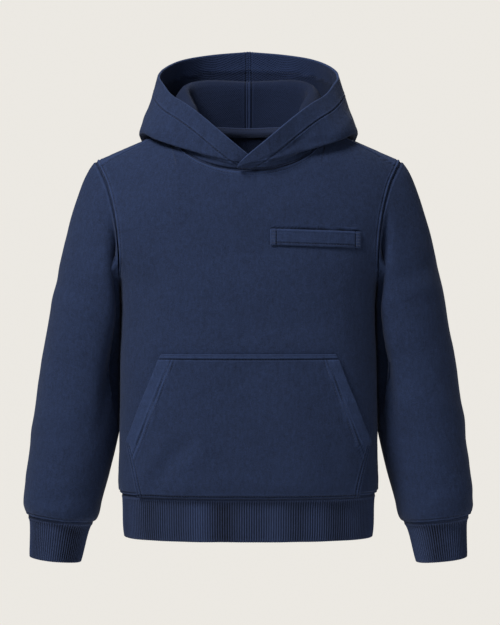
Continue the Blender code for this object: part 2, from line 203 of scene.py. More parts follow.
# Soft troughs (negative) and ridges: the middle of each, its half length and half
# width, its direction from level in degrees, and its height.
FRONT_FOLDS = Table(
    "x    z    length width angle height",
    (-84, -352, 34, 9, 58, -2.2),
    (-97, -345, 40, 9, 60, 1.2),
    (-62, -360, 30, 10, 66, 1.1),
    (-112, -190, 42, 12, 74, -1.3),
    (-100, -215, 60, 16, 78, 0.9),
    (114, -205, 50, 13, 104, -1.2),
    (100, -225, 60, 16, 100, 0.8),
    (-40, -88, 52, 15, -28, 0.9),
    (-62, -112, 46, 13, -34, -0.8),
    (44, -86, 46, 14, 30, 0.8),
    (92, -352, 30, 10, 118, -1.1),
    (30, -206, 60, 15, 8, -0.7),
    (-20, -300, 70, 24, 80, -0.8),
    (46, -310, 66, 22, 98, 0.8),
    (0, -368, 90, 9, 0, 0.7),
)
BACK_FOLDS = Table(
    "x    z    length width angle height",
    (-90, -345, 40, 11, 62, -1.8),
    (94, -338, 44, 12, 116, -1.8),
    (70, -350, 36, 10, 112, 1.0),
    (-108, -195, 50, 13, 70, -1.6),
    (110, -200, 54, 14, 108, -1.4),
    (-55, -150, 60, 18, 40, 0.9),
    (60, -160, 62, 18, -38, 0.8),
    (0, -250, 80, 20, 4, -0.8),
    (-30, -310, 70, 20, 84, -1.0),
    (36, -320, 64, 22, 96, 1.0),
)
# On a sleeve a fold's place is its angle round from the outer side, and its height; its length
# runs round the sleeve by degrees and its width along it.
SLEEVE_FOLDS = Table(
    "turn z    length width slant height",
    (300, -150, 46, 11, 16, -1.6),
    (290, -172, 50, 10, 12, 1.1),
    (285, -262, 54, 12, -12, -1.2),
    (250, -240, 46, 11, 10, -1.3),
    (300, -292, 60, 12, -14, 0.9),
    (70, -250, 56, 12, 14, -1.5),
    (95, -275, 50, 10, 12, 1.1),
    (300, -382, 50, 8, 6, 0.9),
    (255, -372, 46, 8, -8, -1.1),
    (40, -380, 60, 8, 5, -1.0),
    (120, -350, 46, 10, -10, 0.9),
    (340, -330, 40, 14, 10, -0.8),
    (0, -205, 50, 18, 5, -0.7),
)
HOOD_FOLDS = Table(
    "turn share length width slant height",
    (30, 0.80, 22, 0.035, 0.25, -1.0),
    (66, 0.74, 26, 0.040, -0.20, -1.3),
    (84, 0.82, 20, 0.035, 0.15, 0.9),
    (118, 0.72, 30, 0.050, 0.20, -1.6),
    (146, 0.80, 30, 0.045, -0.25, 1.2),
    (160, 0.66, 26, 0.040, 0.20, -1.4),
    (104, 0.40, 22, 0.040, 0.10, 1.0),
    (150, 0.30, 30, 0.050, 0.00, -1.0),
)


def length_property(name, description, millimetres):
    return FloatProperty(
        name=name, description=description, default=millimetres * MM, unit="LENGTH"
    )


def colour_property(name, description, colour):
    return FloatVectorProperty(
        name=name, description=description, default=colour, subtype="COLOR"
    )


class HoodieSizes(bpy.types.PropertyGroup):
    """The sizes of the sewing, which a user would change."""

    rib_pitch: length_property("Rib pitch", "From one rib to the next", 2.5)
    rib_depth: length_property("Rib depth", "Height of a rib", 0.8)
    topstitch: length_property("Topstitch", "From a seam to the stitch line beside it", 3.8)
    hood_hem: length_property("Hood hem", "Depth of the hood's turned hem", 20)
    pouch_hem: length_property(
        "Pouch hem", "From a pocket opening to the nearer of its two stitch lines", 10.5
    )
    twin_gap: length_property("Twin gap", "Between a pair of stitch lines", 3.5)
    stitch_pitch: length_property("Stitch pitch", "From one stitch to the next", 2.9)
    stitch_length: length_property("Stitch length", "Length of a stitch", 2.3)
    thread: length_property("Thread", "Radius of the sewing thread", 0.26)


class HoodieColours(bpy.types.PropertyGroup):
    """The colours of the cloth, the thread and the studio."""

    cloth: colour_property("Cloth", "The fleece's face", (0.0143, 0.0244, 0.0615))
    # The inside colour is the looped back's, made darker than the face as painted shade inside the
    # hood.
    inside: colour_property("Inside", "The looped back", (0.0088, 0.0150, 0.0395))
    rib: colour_property("Rib", "The rib knit", (0.0155, 0.0245, 0.0585))
    thread: colour_property("Thread", "The sewing thread", (0.0172, 0.0272, 0.066))
    studio: colour_property("Studio", "Floor and backdrop", (0.832, 0.807, 0.760))


def colours():
    return bpy.context.scene.hoodie_colours


def sizes():
    return bpy.context.scene.hoodie_sizes


def drafted(size):
    """One of the sewing's sizes in drafted millimetres."""
    return getattr(sizes(), size) / MM


# ---------------------------------------------------------------- the garment's form


def ramp(value, start, end):
    return np.clip((value - start) / (end - start), 0, 1)


def step(value, start, end):
    """A soft step from 0 to 1."""
    t = ramp(value, start, end)
    return t * t * (3 - 2 * t)


def hump(value, middle, width):
    return np.exp(-(((value - middle) / width) ** 2))


def ripple(along, seed, wavelengths=(9, 14, 23, 37)):
    """Smooth unevenness along a line or over a field in millimetres, from -1 to 1."""
    total = 0.0
    for n, wavelength in enumerate(wavelengths):
        total = total + np.sin(TURN * along / wavelength + seed * 1.7 + n * 2.3)
    return total / len(wavelengths)


def rumple(a, b, seed, wavelength=60):
    """Gentle unevenness over a cloth's two directions in millimetres."""
    total = 0.0
    for n, (across, up) in enumerate(((1, 0.3), (-0.5, 0.9), (0.8, -0.7), (0.2, 1.3))):
        phase = TURN * (a * across + b * up) / (wavelength * (0.7 + 0.23 * n))
        total = total + np.sin(phase + seed + 1.9 * n) / 4
    return total


def half_width(z):
    return TORSO.smooth(z, "half_width")


def ridge(x):
    slope = SHOULDER_DROP / (SHOULDER_TIP_X - NECK_HALF_WIDTH)
    return slope * (math.hypot(NECK_HALF_WIDTH, RIDGE_ROUNDING) - np.hypot(x, RIDGE_ROUNDING))


def body_surface(x, z, side):
    """Points on the front or back of the body at places across and up."""
    below = np.maximum(ridge(x) - z, 0)
    across = np.clip(np.abs(x) / half_width(z), 0, 1)
    section = (1 - across**SQUARENESS) ** (1 / SQUARENESS)
    closing = np.sqrt(1 - np.maximum(1 - below / CLOSING_HEIGHT, 0) ** 2)
    way = -1 if side == "front" else 1
    return np.stack([x, way * TORSO.smooth(z, side) * section * closing, z], axis=-1)


def turn_of(x, z):
    across = np.clip(np.abs(x) / half_width(z), 0, 1)
    return np.arcsin(across ** (SQUARENESS / 2)) / (math.pi / 2)


def x_of(turn, z):
    return half_width(z) * np.sin(np.clip(turn, 0, 1) * math.pi / 2) ** (2 / SQUARENESS)


def neck_place(turn):
    """(x, z) of the neck seam at turns in degrees from the front centre to the back centre."""
    angle = np.radians(turn)
    drop = np.where(np.asarray(turn) < 90, FRONT_NECK_DROP, 0.0)
    return NECK_HALF_WIDTH * np.sin(angle), -drop * np.cos(angle)


def neck_seam(turn):
    """Points on the neck seam at turns in degrees."""
    x, z = neck_place(turn)
    front, back = body_surface(x, z, "front"), body_surface(x, z, "back")
    return np.where(np.asarray(turn)[..., None] < 90, front, back)


def side_edge(share):
    """(turn, z) up a panel's edge: the side seam, then the armhole."""
    rise = (UNDERARM_Z - BAND_SEAM_Z) * np.minimum(share / SIDE_SHARE, 1)
    up_armhole = ramp(share, SIDE_SHARE, 1)
    reach = float(ridge(SHOULDER_TIP_X)) - UNDERARM_Z
    z = BAND_SEAM_Z + rise + reach * (0.5 - 0.5 * np.cos(math.pi * up_armhole))
    turn = np.where(share < SIDE_SHARE, 1.0, turn_of(ARMHOLE.smooth(z, "x"), z))
    return turn, z


def top_edge(share, side):
    """(turn, z) along a panel's neckline, then its shoulder seam."""
    turn = np.minimum(share * 2, 1) * 90
    neck_x, neck_z = neck_place(turn if side == "front" else 180 - turn)
    reach = SHOULDER_TIP_X - NECK_HALF_WIDTH
    shoulder_x = NECK_HALF_WIDTH + reach * np.maximum(share * 2 - 1, 0)
    x = np.where(share < 0.5, neck_x, shoulder_x)
    z = np.where(share < 0.5, neck_z, ridge(shoulder_x))
    return turn_of(x, z), z


def panel_grid(side, across, up):
    """Points of a body panel, stretched between its centre line and its edges."""
    u, v = np.meshgrid(across, up)
    left = np.abs(u)
    centre_top = -FRONT_NECK_DROP if side == "front" else 0.0
    centre_z = BAND_SEAM_Z + (centre_top - BAND_SEAM_Z) * v
    side_turn, side_z = side_edge(v)
    top_turn, top_z = top_edge(left, side)
    end_turn, end_z = (float(value) for value in top_edge(np.array(1.0), side))
    free = ramp(v, FREE_ABOVE, 1)
    z = centre_z + (side_z - centre_z) * left
    z = z + free * (top_z - centre_top - (end_z - centre_top) * left)
    turn = left + free * (top_turn - left) + left * (side_turn - 1 - free * (end_turn - 1))
    x = np.sign(u) * x_of(turn, z)
    return body_surface(x, z, side)


def armhole_edge(angle):
    """Points round the left armhole, by angle from the shoulder tip round by the back."""
    share = np.where(angle <= math.pi, 1 - angle / math.pi, angle / math.pi - 1)
    reach = float(ridge(SHOULDER_TIP_X)) - UNDERARM_Z
    z = UNDERARM_Z + reach * (0.5 - 0.5 * np.cos(math.pi * share))
    x = ARMHOLE.smooth(z, "x")
    front, back = body_surface(x, z, "front"), body_surface(x, z, "back")
    return np.where((angle <= math.pi)[..., None], back, front)


def ring(table, z, angle):
    """Points of tipped ellipses at the table's heights."""
    tilt = np.radians(table.smooth(z, "tilt"))
    wide, deep = table.smooth(z, "half_width"), table.smooth(z, "half_depth")
    x = table.smooth(z, "x") + wide * np.cos(tilt) * np.cos(angle)
    y = table.smooth(z, "y") + deep * np.sin(angle)
    return np.stack([x, y, z + wide * np.sin(tilt) * np.cos(angle)], axis=-1)


def clear_of_body(points):
    """Moves points of the left sleeve outwards until they clear the side of the body."""
    x, y, z = points[..., 0], points[..., 1], points[..., 2]
    deep = np.where(y < 0, TORSO.smooth(z, "front"), TORSO.smooth(z, "back"))
    share = np.clip(np.abs(y) / deep, 0, 1)
    edge = half_width(z) * (1 - share**SQUARENESS) ** (1 / SQUARENESS)
    gap = SLEEVE_CLEARANCE * step(UNDERARM_Z - z, 0, 8)
    pushed = np.where(z < UNDERARM_Z, np.maximum(x, edge + gap), x)
    return np.stack([pushed, y, z], axis=-1)


def sleeve_grid(heights, cap, angles):
    """Points of the left sleeve: its rings up to the cap's start, then the cap by share."""
    z, angle = np.meshgrid(heights, angles, indexing="ij")
    lower = clear_of_body(ring(SLEEVE, z, angle))
    start = armhole_edge(angles)[None]
    end = lower[-1][None]
    outer = (0.5 + 0.5 * np.cos(angles))[None, :, None]
    leave = (CAP_START_INNER + (CAP_START_OUTER - CAP_START_INNER) * outer) * CAP_START_PULL
    chord = np.linalg.norm(end - start, axis=-1, keepdims=True)
    t = cap[:, None, None]
    points = start * (1 + 2 * t) * (1 - t) ** 2 + end * t * t * (3 - 2 * t)
    points = points + (leave * t * (1 - t) ** 2 - CAP_END * t * t * (1 - t)) * chord
    return np.concatenate([lower, clear_of_body(points)])


def hood_grid(turns, spread, lap):
    """Points of the left half of the hood, from the neck seam over the roll to the rim."""
    place = {
        name: np.stack([HOOD.smooth(turns, f"{name}_{axis}") for axis in "xyz"], axis=-1)
        for name in ("roll", "fold", "rim")
    }
    seam, roll, fold, rim = neck_seam(turns), place["roll"], place["fold"], place["rim"]
    out = (fold - roll) * (1, 1, 0)
    out /= np.linalg.norm(out, axis=-1, keepdims=True)
    height = np.linalg.norm(fold - roll, axis=-1, keepdims=True)
    fullness = np.minimum(height / FULL_FOLD_HEIGHT, 1)
    half_roll = out * ROLL_WIDTH / 2 * fullness
    half_fold = out * FOLD_WIDTH / 2 * fullness
    bulge = out * BAG_BULGE * ramp(turns, *BAG_TURNS)[:, None]
    up, over = roll - half_roll, roll + half_roll
    down, back_up = fold - half_fold, fold + half_fold
    corners = [seam, (seam + up) / 2, up, over]
    corners += [over + (down - over) / 3, over + (down - over) * 2 / 3, down, back_up]
    corners += [back_up + (rim - back_up) / 3 + bulge]
    corners += [back_up + (rim - back_up) * 2 / 3 + bulge, rim]
    rows = []
    spans = len(corners) - 2
    for at in spread * spans:
        i = min(int(at), spans - 1)
        t = at - i
        first = corners[0] if i == 0 else (corners[i] + corners[i + 1]) / 2
        last = corners[-1] if i == spans - 1 else (corners[i + 1] + corners[i + 2]) / 2
        rows.append(first * (1 - t) ** 2 + corners[i + 1] * 2 * t * (1 - t) + last * t * t)
    shift = -lap * (1 - ramp(turns, *LAP_FADE))
    points = np.array(rows)
    points[..., 1] += shift
    return points


# ---------------------------------------------------------------- sheets, walls and stitches


def spaced(start, end, coarse, fine=None, reach=0.0, at_start=True, at_end=True):
    """Values from start to end, closer together within a reach of its ends."""
    span = abs(end - start)
    values = [0.0]
    while values[-1] < span:
        here = values[-1]
        near_start = at_start and here < reach
        near_end = at_end and span - here < reach + coarse
        values.append(here + (fine if fine and (near_start or near_end) else coarse))
    values = np.array(values) * span / values[-1]
    return start + values * np.sign(end - start)


def run_of(line):
    """Distances along a line of points, from its first."""
    lengths = np.linalg.norm(np.diff(line, axis=0), axis=-1)
    return np.concatenate([[0], np.cumsum(lengths)])


def read(place, keys, values):
    """A line's points or normals at a place or places, by the line's own keys."""
    return np.stack([np.interp(place, keys, values[:, axis]) for axis in range(3)], axis=-1)


def eased(points, first=0.0, last=0.0, reach=8.0):
    """Draws a grid's first and last rows back along its surface, easing off over a short reach."""
    made = []
    for lane in points.transpose(1, 0, 2):
        far = run_of(lane)
        fade = min(reach, 0.45 * far[-1])
        wanted = far + min(first, fade / 3) * np.clip(1 - far / fade, 0, 1)
        wanted = wanted - min(last, fade / 3) * np.clip(1 - (far[-1] - far) / fade, 0, 1)
        made.append(read(wanted, far, lane))
    return np.array(made).transpose(1, 0, 2)


def drawn_back(points, bottom=0.0, top=0.0, start=0.0, end=0.0):
    """Draws a grid's edges back from its seams."""
    points = eased(points, bottom, top)
    if start or end:
        points = eased(points.transpose(1, 0, 2), start, end).transpose(1, 0, 2)
    return points


# Where the body's own normals take over: this far out from the neck point, above this height,
# and this far below the shoulder's ridge.
MENDED_BESIDE = 12
MENDED_ABOVE_Z = -90
MENDED_BELOW_RIDGE = 6


def mended(sheet, side):
    """Takes normals from the body's own curve where a panel's grid is squeezed beside the neck."""
    x, z = sheet.points[..., 0], sheet.points[..., 2]
    ahead = body_surface(x + 1, z, side) - body_surface(x - 1, z, side)
    upward = body_surface(x, z + 1, side) - body_surface(x, z - 1, side)
    exact = np.cross(ahead, upward) * (1 if side == "front" else -1)
    exact /= np.maximum(np.linalg.norm(exact, axis=-1, keepdims=True), 1e-9)
    clear = (np.abs(x) < NECK_HALF_WIDTH + MENDED_BESIDE) & (z > MENDED_ABOVE_Z)
    clear &= ridge(x) - z > MENDED_BELOW_RIDGE
    sheet.normals = np.where(clear[..., None], exact, sheet.normals)
    return sheet


class Sheet:
    """A grid of cloth in millimetres: rows run up it, columns anticlockwise seen from above."""

    def __init__(self, points, closed=False):
        self.points = points
        self.closed = closed
        wrapped = points
        if closed:
            wrapped = np.concatenate([points[:, -1:], points, points[:, :1]], axis=1)
        along = np.gradient(wrapped, axis=1)
        if closed:
            along = along[:, 1:-1]
        rising = np.gradient(points, axis=0)
        normals = np.cross(along, rising)
        lengths = np.linalg.norm(normals, axis=-1, keepdims=True)
        self.normals = normals / np.maximum(lengths, 1e-12)
        rows = np.linalg.norm(np.diff(points, axis=1), axis=-1)
        columns = np.linalg.norm(np.diff(points, axis=0), axis=-1)
        self.from_start = np.pad(np.cumsum(rows, axis=1), ((0, 0), (1, 0)))
        self.from_bottom = np.pad(np.cumsum(columns, axis=0), ((1, 0), (0, 0)))
        self.from_end = self.from_start[:, -1:] - self.from_start
        self.from_top = self.from_bottom[-1:] - self.from_bottom

    def raised(self, relief):
        return self.points + self.normals * np.asarray(relief)[..., None]

    def area(self):
        p = self.points
        if self.closed:
            p = np.concatenate([p, p[:, :1]], axis=1)
        diagonals = np.cross(p[1:, 1:] - p[:-1, :-1], p[1:, :-1] - p[:-1, 1:])
        return np.linalg.norm(diagonals, axis=-1).sum() / 2 * MM * MM

    def width(self):
        """Length of the longest row, in metres."""
        last = self.points[:, :1] if self.closed else self.points[:, :0]
        steps = np.diff(self.points, axis=1, append=last)
        return float(np.linalg.norm(steps, axis=-1).sum(axis=1).max() * MM)

    def height(self):
        """Length of the longest column, in metres."""
        return float(self.from_bottom[-1].max() * MM)

    def at_x(self, surface, places):
        """Points and normals of a surface at one place across in each of its rows."""
        return [
            np.array([read(*lane) for lane in zip(places, self.points[..., 0], data)])
            for data in (surface, self.normals)
        ]

    def line(self, surface, edge, distance):
        """Points and normals of a surface's line at a distance from one of the sheet's edges."""

        def lanes(data):
            data = data.swapaxes(0, 1) if edge in ("bottom", "top") else data
            return data if edge in ("bottom", "start") else data[:, ::-1]

        field = lanes(getattr(self, f"from_{edge}"))
        return [
            np.array([read(distance, keys, lane) for keys, lane in zip(field, lanes(data))])
            for data in (surface, self.normals)
        ]


def groove(distance, at, depth=0.95):
    """A stitch line: a narrow furrow pulled down between two soft crests."""
    crests = hump(distance, at - 1.5, 0.9) + hump(distance, at + 1.5, 0.9)
    return 0.3 * crests - depth * hump(distance, at, 0.62)


def seam(distance, along, seed, topstitch=None, dip=0.75, pad=0.5):
    """How a face lies beside its seam: a dip, the turnings' ridge and the stitch line's groove."""
    relief = -dip * hump(distance, 0, 0.9)
    if topstitch:
        swell = 1 + 0.35 * ripple(along, seed)
        rise = step(distance, 0.5, 1.5)
        fall = 1 - step(distance, topstitch - 0.3, topstitch + 1.3)
        relief = relief + pad * swell * rise * fall
        relief = relief + groove(distance, topstitch)
    pucker = ripple(along, seed + 3, (7, 11, 17, 29))
    return relief + 0.2 * pucker * np.exp(-distance / 9)


def trough(row, slant, across, up, bow):
    """One fold over distances from its middle, bowed along its length."""
    angle = math.radians(slant)
    along = (across * math.cos(angle) + up * math.sin(angle)) / row["length"]
    beside = (up * math.cos(angle) - across * math.sin(angle)) / row["width"]
    return row["height"] * np.exp(-((beside + bow * along**2) ** 2) - along**4)


def folds(table, x, z):
    """The sum of a table's troughs and ridges over a panel."""
    return sum(trough(row, row["angle"], x - row["x"], z - row["z"], 0.5) for row in table.rows)


def edge_loops(rows, columns, closed):
    """The grid's border as loops of indices, each with the indices just inside it."""
    index = np.arange(rows * columns).reshape(rows, columns)
    if closed:
        return [(index[0], index[1]), (index[-1][::-1], index[-2][::-1])]
    r, c = rows - 1, columns - 1
    border = [(0, n) for n in range(c)] + [(n, c) for n in range(r)]
    border += [(r, c - n) for n in range(c)] + [(r - n, 0) for n in range(r)]
    inside = [(min(max(row, 1), r - 1), min(max(column, 1), c - 1)) for row, column in border]
    return [(np.array([index[p] for p in border]), np.array([index[p] for p in inside]))]


# A shell's soft edge: how far it swells for half a thickness, its least swell, its facets and
# the painted highlight along its rim.
ROUNDNESS = 0.8
LEAST_RIM = 0.7
ARCS = 4
PAINTED_EDGE_HIGHLIGHT = 0.7


def wall(right, wrong, closed):
    """Vertices, faces and wrong-side face flags of a shell with soft rounded edges."""
    rows, columns = right.shape[:2]
    count = rows * columns
    flat_right, flat_wrong = right.reshape(-1, 3), wrong.reshape(-1, 3)
    vertices = [flat_right, flat_wrong]
    index = np.arange(count).reshape(rows, columns)
    if closed:
        index = np.concatenate([index, index[:, :1]], axis=1)
    a, b, c, d = index[:-1, :-1], index[:-1, 1:], index[1:, 1:], index[1:, :-1]
    cells = np.stack([a, b, c, d], axis=-1).reshape(-1, 4)
    faces = [cells, cells[:, ::-1] + count]
    size = 2 * count
    for loop, inner in edge_loops(rows, columns, closed):
        top, bottom = flat_right[loop], flat_wrong[loop]
        middle, half = (top + bottom) / 2, (top - bottom) / 2
        out = middle - (flat_right[inner] + flat_wrong[inner]) / 2
        axis = half / np.linalg.norm(half, axis=1, keepdims=True)
        out -= axis * (out * axis).sum(axis=1, keepdims=True)
        out /= np.maximum(np.linalg.norm(out, axis=1, keepdims=True), 1e-9)
        reach = np.maximum(np.linalg.norm(half, axis=1, keepdims=True) * ROUNDNESS, LEAST_RIM)
        chains = [loop]
        for n in range(1, ARCS):
            angle = math.pi * n / ARCS
            vertices.append(middle + half * math.cos(angle) + out * reach * math.sin(angle))
            chains.append(np.arange(size, size + len(loop)))
            size += len(loop)
        chains.append(loop + count)
        for upper, lower in zip(chains, chains[1:]):
            ends = np.roll(upper, -1), upper, lower, np.roll(lower, -1)
            faces.append(np.stack(ends, axis=-1))
    flags = np.concatenate([np.full(len(f), n == 1) for n, f in enumerate(faces)])
    return np.concatenate(vertices), np.concatenate(faces), flags


def new_object(name, vertices, faces, materials, uv=None, wrong=None, crease=None):
    """A smooth mesh object in metres, with its own UV map in metres of cloth and a point attribute
    of painted shade and highlight.
    """
    mesh = bpy.data.meshes.new(name)
    mesh.from_pydata((vertices * MM).tolist(), [], [list(f) for f in faces])
    for material in materials:
        mesh.materials.append(material)
    if wrong is not None:
        mesh.polygons.foreach_set("material_index", wrong.astype(np.int32))
    if uv is not None:
        layer = mesh.uv_layers.new(name="cloth")
        corners = np.empty(len(mesh.loops), np.int32)
        mesh.loops.foreach_get("vertex_index", corners)
        layer.data.foreach_set("uv", (uv[corners] * MM).astype(np.float32).ravel())
    if crease is not None:
        layer = mesh.attributes.new("crease", "FLOAT", "POINT")
        layer.data.foreach_set("value", crease.astype(np.float32))
    mesh.shade_smooth()
    mesh.update()
    obj = bpy.data.objects.new(name, mesh)
    bpy.context.scene.collection.objects.link(obj)
    return obj


def hand_over(obj, slot, *nodes):
    """Rides a piece on the body and hides the solids that it stands for. Its slot is not used."""
    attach(obj, "root")
    if nodes:
        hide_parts(*nodes)


# Thickness of the fleece, and of the rib folded double.
FLEECE_THICKNESS = 2.0
RIB_THICKNESS = 2.6

# The materials of a cloth's face and of its wrong side.
FLEECE = ("face", "back")
RIB = ("rib", "rib")
TAPE = ("tape", "tape")


def add_cloth(name, sheet, large, small, thickness, cloth, uv, inner=0.0):
    """A shell of cloth: its face carries large and small relief, its wrong side only the large.

    Returns the object and the points of its face.
    """
    ones = np.ones(sheet.points.shape[:2])
    right = sheet.raised(large + small)
    wrong = sheet.raised(large - thickness - inner * ones)
    vertices, faces, flags = wall(right, wrong, sheet.closed)
    flat = uv.reshape(-1, 2)
    loops = edge_loops(*right.shape[:2], sheet.closed)
    rims = [np.tile(flat[loop], (ARCS - 1, 1)) for loop, _ in loops]
    all_uv = np.concatenate([flat, flat] + rims)
    # Each side's small relief is also painted into the colour: painted shade in grooves and
    # furrows, a painted highlight on crests, and a painted highlight along every rim.
    crease = np.concatenate([(small * ones).ravel(), (inner * ones).ravel()])
    rim_highlight = np.full(len(vertices) - len(crease), PAINTED_EDGE_HIGHLIGHT)
    crease = np.clip(np.concatenate([crease, rim_highlight]), -1, 1)
    materials = [material(kind) for kind in cloth]
    return new_object(name, vertices, faces, materials, all_uv, flags, crease), right


STITCH_SIDES = 5
STITCH_SHAPE = ((-0.5, 0.35, -0.7), (0.0, 1.0, 0.35), (0.5, 0.35, -0.7))


def stitch_run(points, normals, closed):
    """Vertices and faces of one line of stitches laid on a surface's line."""
    if closed:
        points = np.concatenate([points, points[:1]])
        normals = np.concatenate([normals, normals[:1]])
    along = run_of(points)
    length, radius = drafted("stitch_length"), drafted("thread")
    count = int(along[-1] / drafted("stitch_pitch"))
    vertices, faces = [], []
    if count < 1:
        return np.zeros((0, 3)), []
    centres = (np.arange(count) + 0.5) * along[-1] / count
    middle, up = read(centres, along, points), read(centres, along, normals)
    up /= np.linalg.norm(up, axis=1, keepdims=True)
    ahead = read(centres + length / 2, along, points) - read(centres - length / 2, along, points)
    ahead /= np.maximum(np.linalg.norm(ahead, axis=1, keepdims=True), 1e-9)
    beside = np.cross(up, ahead)
    for share, girth, lift in STITCH_SHAPE:
        centre = middle + ahead * length * share + up * radius * lift
        for n in range(STITCH_SIDES):
            angle = TURN * n / STITCH_SIDES
            offset = beside * math.cos(angle) + up * math.sin(angle)
            vertices.append(centre + offset * radius * girth)
    rings = len(STITCH_SHAPE)
    grid = np.array(vertices).transpose(1, 0, 2).reshape(-1, 3)
    size = rings * STITCH_SIDES
    for n in range(count):
        base = n * size
        for r in range(rings - 1):
            first = base + r * STITCH_SIDES
            for s in range(STITCH_SIDES):
                a, b = first + s, first + (s + 1) % STITCH_SIDES
                faces.append((a, b, b + STITCH_SIDES, a + STITCH_SIDES))
        faces.append(tuple(base + s for s in reversed(range(STITCH_SIDES))))
        faces.append(tuple(base + size - STITCH_SIDES + s for s in range(STITCH_SIDES)))
    return grid, faces


def add_stitching(name, lines, closed=False):
    """All of a piece's stitch lines, each its points and normals, as one object."""
    vertices, faces = [], []
    size = 0
    for points, normals in lines:
        grid, cells = stitch_run(points, normals, closed)
        vertices.append(grid)
        faces += [tuple(i + size for i in cell) for cell in cells]
        size += len(grid)
    obj = new_object(name, np.concatenate(vertices), faces, [material("thread")])
    hand_over(obj, "fleece")
    return obj


# ---------------------------------------------------------------- materials


class Socket:
    """A shader socket that takes Python's arithmetic."""

    def __init__(self, shader, socket):
        self.shader = shader
        self.socket = socket

    def __add__(self, other):
        return self.shader.maths("ADD", self, other)

    def __sub__(self, other):
        return self.shader.maths("SUBTRACT", self, other)

    def __mul__(self, other):
        return self.shader.maths("MULTIPLY", self, other)

    def __truediv__(self, other):
        return self.shader.maths("DIVIDE", self, other)

    def __radd__(self, other):
        return self.shader.maths("ADD", other, self)

    def __rsub__(self, other):
        return self.shader.maths("SUBTRACT", other, self)

    def __rmul__(self, other):
        return self.shader.maths("MULTIPLY", other, self)

    def __rtruediv__(self, other):
        return self.shader.maths("DIVIDE", other, self)


class Shader:
    """A material's node tree, written as expressions."""

    def __init__(self, name):
        self.material = bpy.data.materials.new(name)
        self.material.use_nodes = True
        self.tree = self.material.node_tree
        self.surface = self.tree.nodes["Principled BSDF"]

    def node(self, kind, settings=None, output=0, **values):
        """Any node: its type, its settings, then its sockets' values by name, or by _number."""
        made = self.tree.nodes.new(kind)
        for key, value in (settings or {}).items():
            setattr(made, key, value)
        for key, value in values.items():
            where = int(key[1:]) if key[0] == "_" else key.replace("_", " ")
            self.put(made.inputs[where], value)
        return Socket(self, made.outputs[output])

    def put(self, target, value):
        if isinstance(value, Socket):
            self.tree.links.new(value.socket, target)
        else:
            target.default_value = value

    def maths(self, operation, *values):
        inputs = {f"_{n}": value for n, value in enumerate(values)}
        return self.node("ShaderNodeMath", {"operation": operation}, **inputs)

    def power(self, value, exponent):
        return self.maths("POWER", value, exponent)

    def clamped(self, value, low, high):
        return self.maths("MINIMUM", self.maths("MAXIMUM", value, low), high)

    def sine(self, value):
        return self.maths("SINE", value)

    def place(self):
        """Object coordinates in metres."""
        return self.node("ShaderNodeTexCoord", output="Object")

    def cloth(self):
        """(across, along) the cloth in metres, from the piece's own map."""
        both = self.node("ShaderNodeUVMap", {"uv_map": "cloth"})
        parts = self.tree.nodes.new("ShaderNodeSeparateXYZ")
        self.put(parts.inputs[0], both)
        return Socket(self, parts.outputs["X"]), Socket(self, parts.outputs["Y"])

    def crease(self):
        """The painted shading from the cloth's relief beside its seams: from -1, painted shade in
        a groove, to 1, a painted highlight on a crest or rim.
        """
        return self.node("ShaderNodeAttribute", {"attribute_name": "crease"}, output="Fac")

    def noise(self, scale, detail=2.0, roughness=0.5, vector=None):
        """Smooth noise about zero."""
        made = self.node(
            "ShaderNodeTexNoise",
            Vector=vector or self.place(),
            Scale=scale,
            Detail=detail,
            Roughness=roughness,
        )
        return made - 0.5

    def stretched(self, factors):
        """The place in metres, scaled by three factors, for streaked noise."""
        return self.node(
            "ShaderNodeVectorMath", {"operation": "MULTIPLY"}, _0=self.place(), _1=factors
        )

    def tinted(self, colour, amount):
        """A colour made darker or lighter by an amount about zero."""
        return self.node(
            "ShaderNodeVectorMath", {"operation": "SCALE"}, _0=tuple(colour), Scale=1 + amount
        )

    def bump(self, height, strength=1.0, distance=1.0, normal=None):
        values = {"Strength": strength, "Distance": distance, "Height": height}
        if normal:
            values["Normal"] = normal
        return self.node("ShaderNodeBump", **values)

    def finish(self, colour, roughness, normal, sheen=0.0, sheen_tint=(1, 1, 1), specular=0.3):
        self.put(self.surface.inputs["Base Color"], colour)
        self.put(self.surface.inputs["Roughness"], roughness)
        self.put(self.surface.inputs["Normal"], normal)
        self.surface.inputs["Sheen Weight"].default_value = sheen
        self.surface.inputs["Sheen Roughness"].default_value = 0.45
        self.surface.inputs["Sheen Tint"].default_value = (*sheen_tint, 1.0)
        self.surface.inputs["Specular IOR Level"].default_value = specular
        return self.material


SHEEN_TINT = (0.62, 0.72, 1.0)
# The cloths' patterns, in metres from one line to the next.
WALE = 0.0011
COURSE = 0.0014
LOOP_ACROSS = 0.0021
LOOP_ALONG = 0.0026
LOOP_ROW = 0.0013
RIB_COURSE = 0.0013
TWILL = 0.0012


def fleece_face():
    """The brushed outer face: fine wales, a soft heathered mottle and fuzz."""
    shader = Shader("fleece_face")
    across, along = shader.cloth()
    wale = shader.sine(across * (TURN / WALE))
    course = shader.sine(along * (TURN / COURSE) + across * 700)
    speckle = shader.noise(950, detail=3)
    mottle = shader.noise(260, detail=3, roughness=0.6)
    streak = shader.noise(1.0, detail=2, vector=shader.stretched((420, 420, 130)))
    cloud = shader.noise(22, detail=3)
    tone = speckle * 1.1 + mottle * 0.6 + streak * 0.5 + cloud * 0.18 + wale * 0.03
    # The face's colour carries painted shade in its seam grooves and a painted highlight on crests
    # and rims.
    colour = shader.tinted(colours().cloth, tone + shader.crease() * 0.75)
    fuzz = shader.noise(1500, detail=2)
    lumps = shader.noise(70, detail=3)
    height = wale * 0.00003 + course * 0.00002 + fuzz * 0.00022 + speckle * 0.0003
    height = height + mottle * 0.0004 + lumps * 0.0009
    roughness = shader.clamped(0.92 + mottle * 0.2, 0.7, 1.0)
    return shader.finish(colour, roughness, shader.bump(height), 0.06, SHEEN_TINT, 0.14)


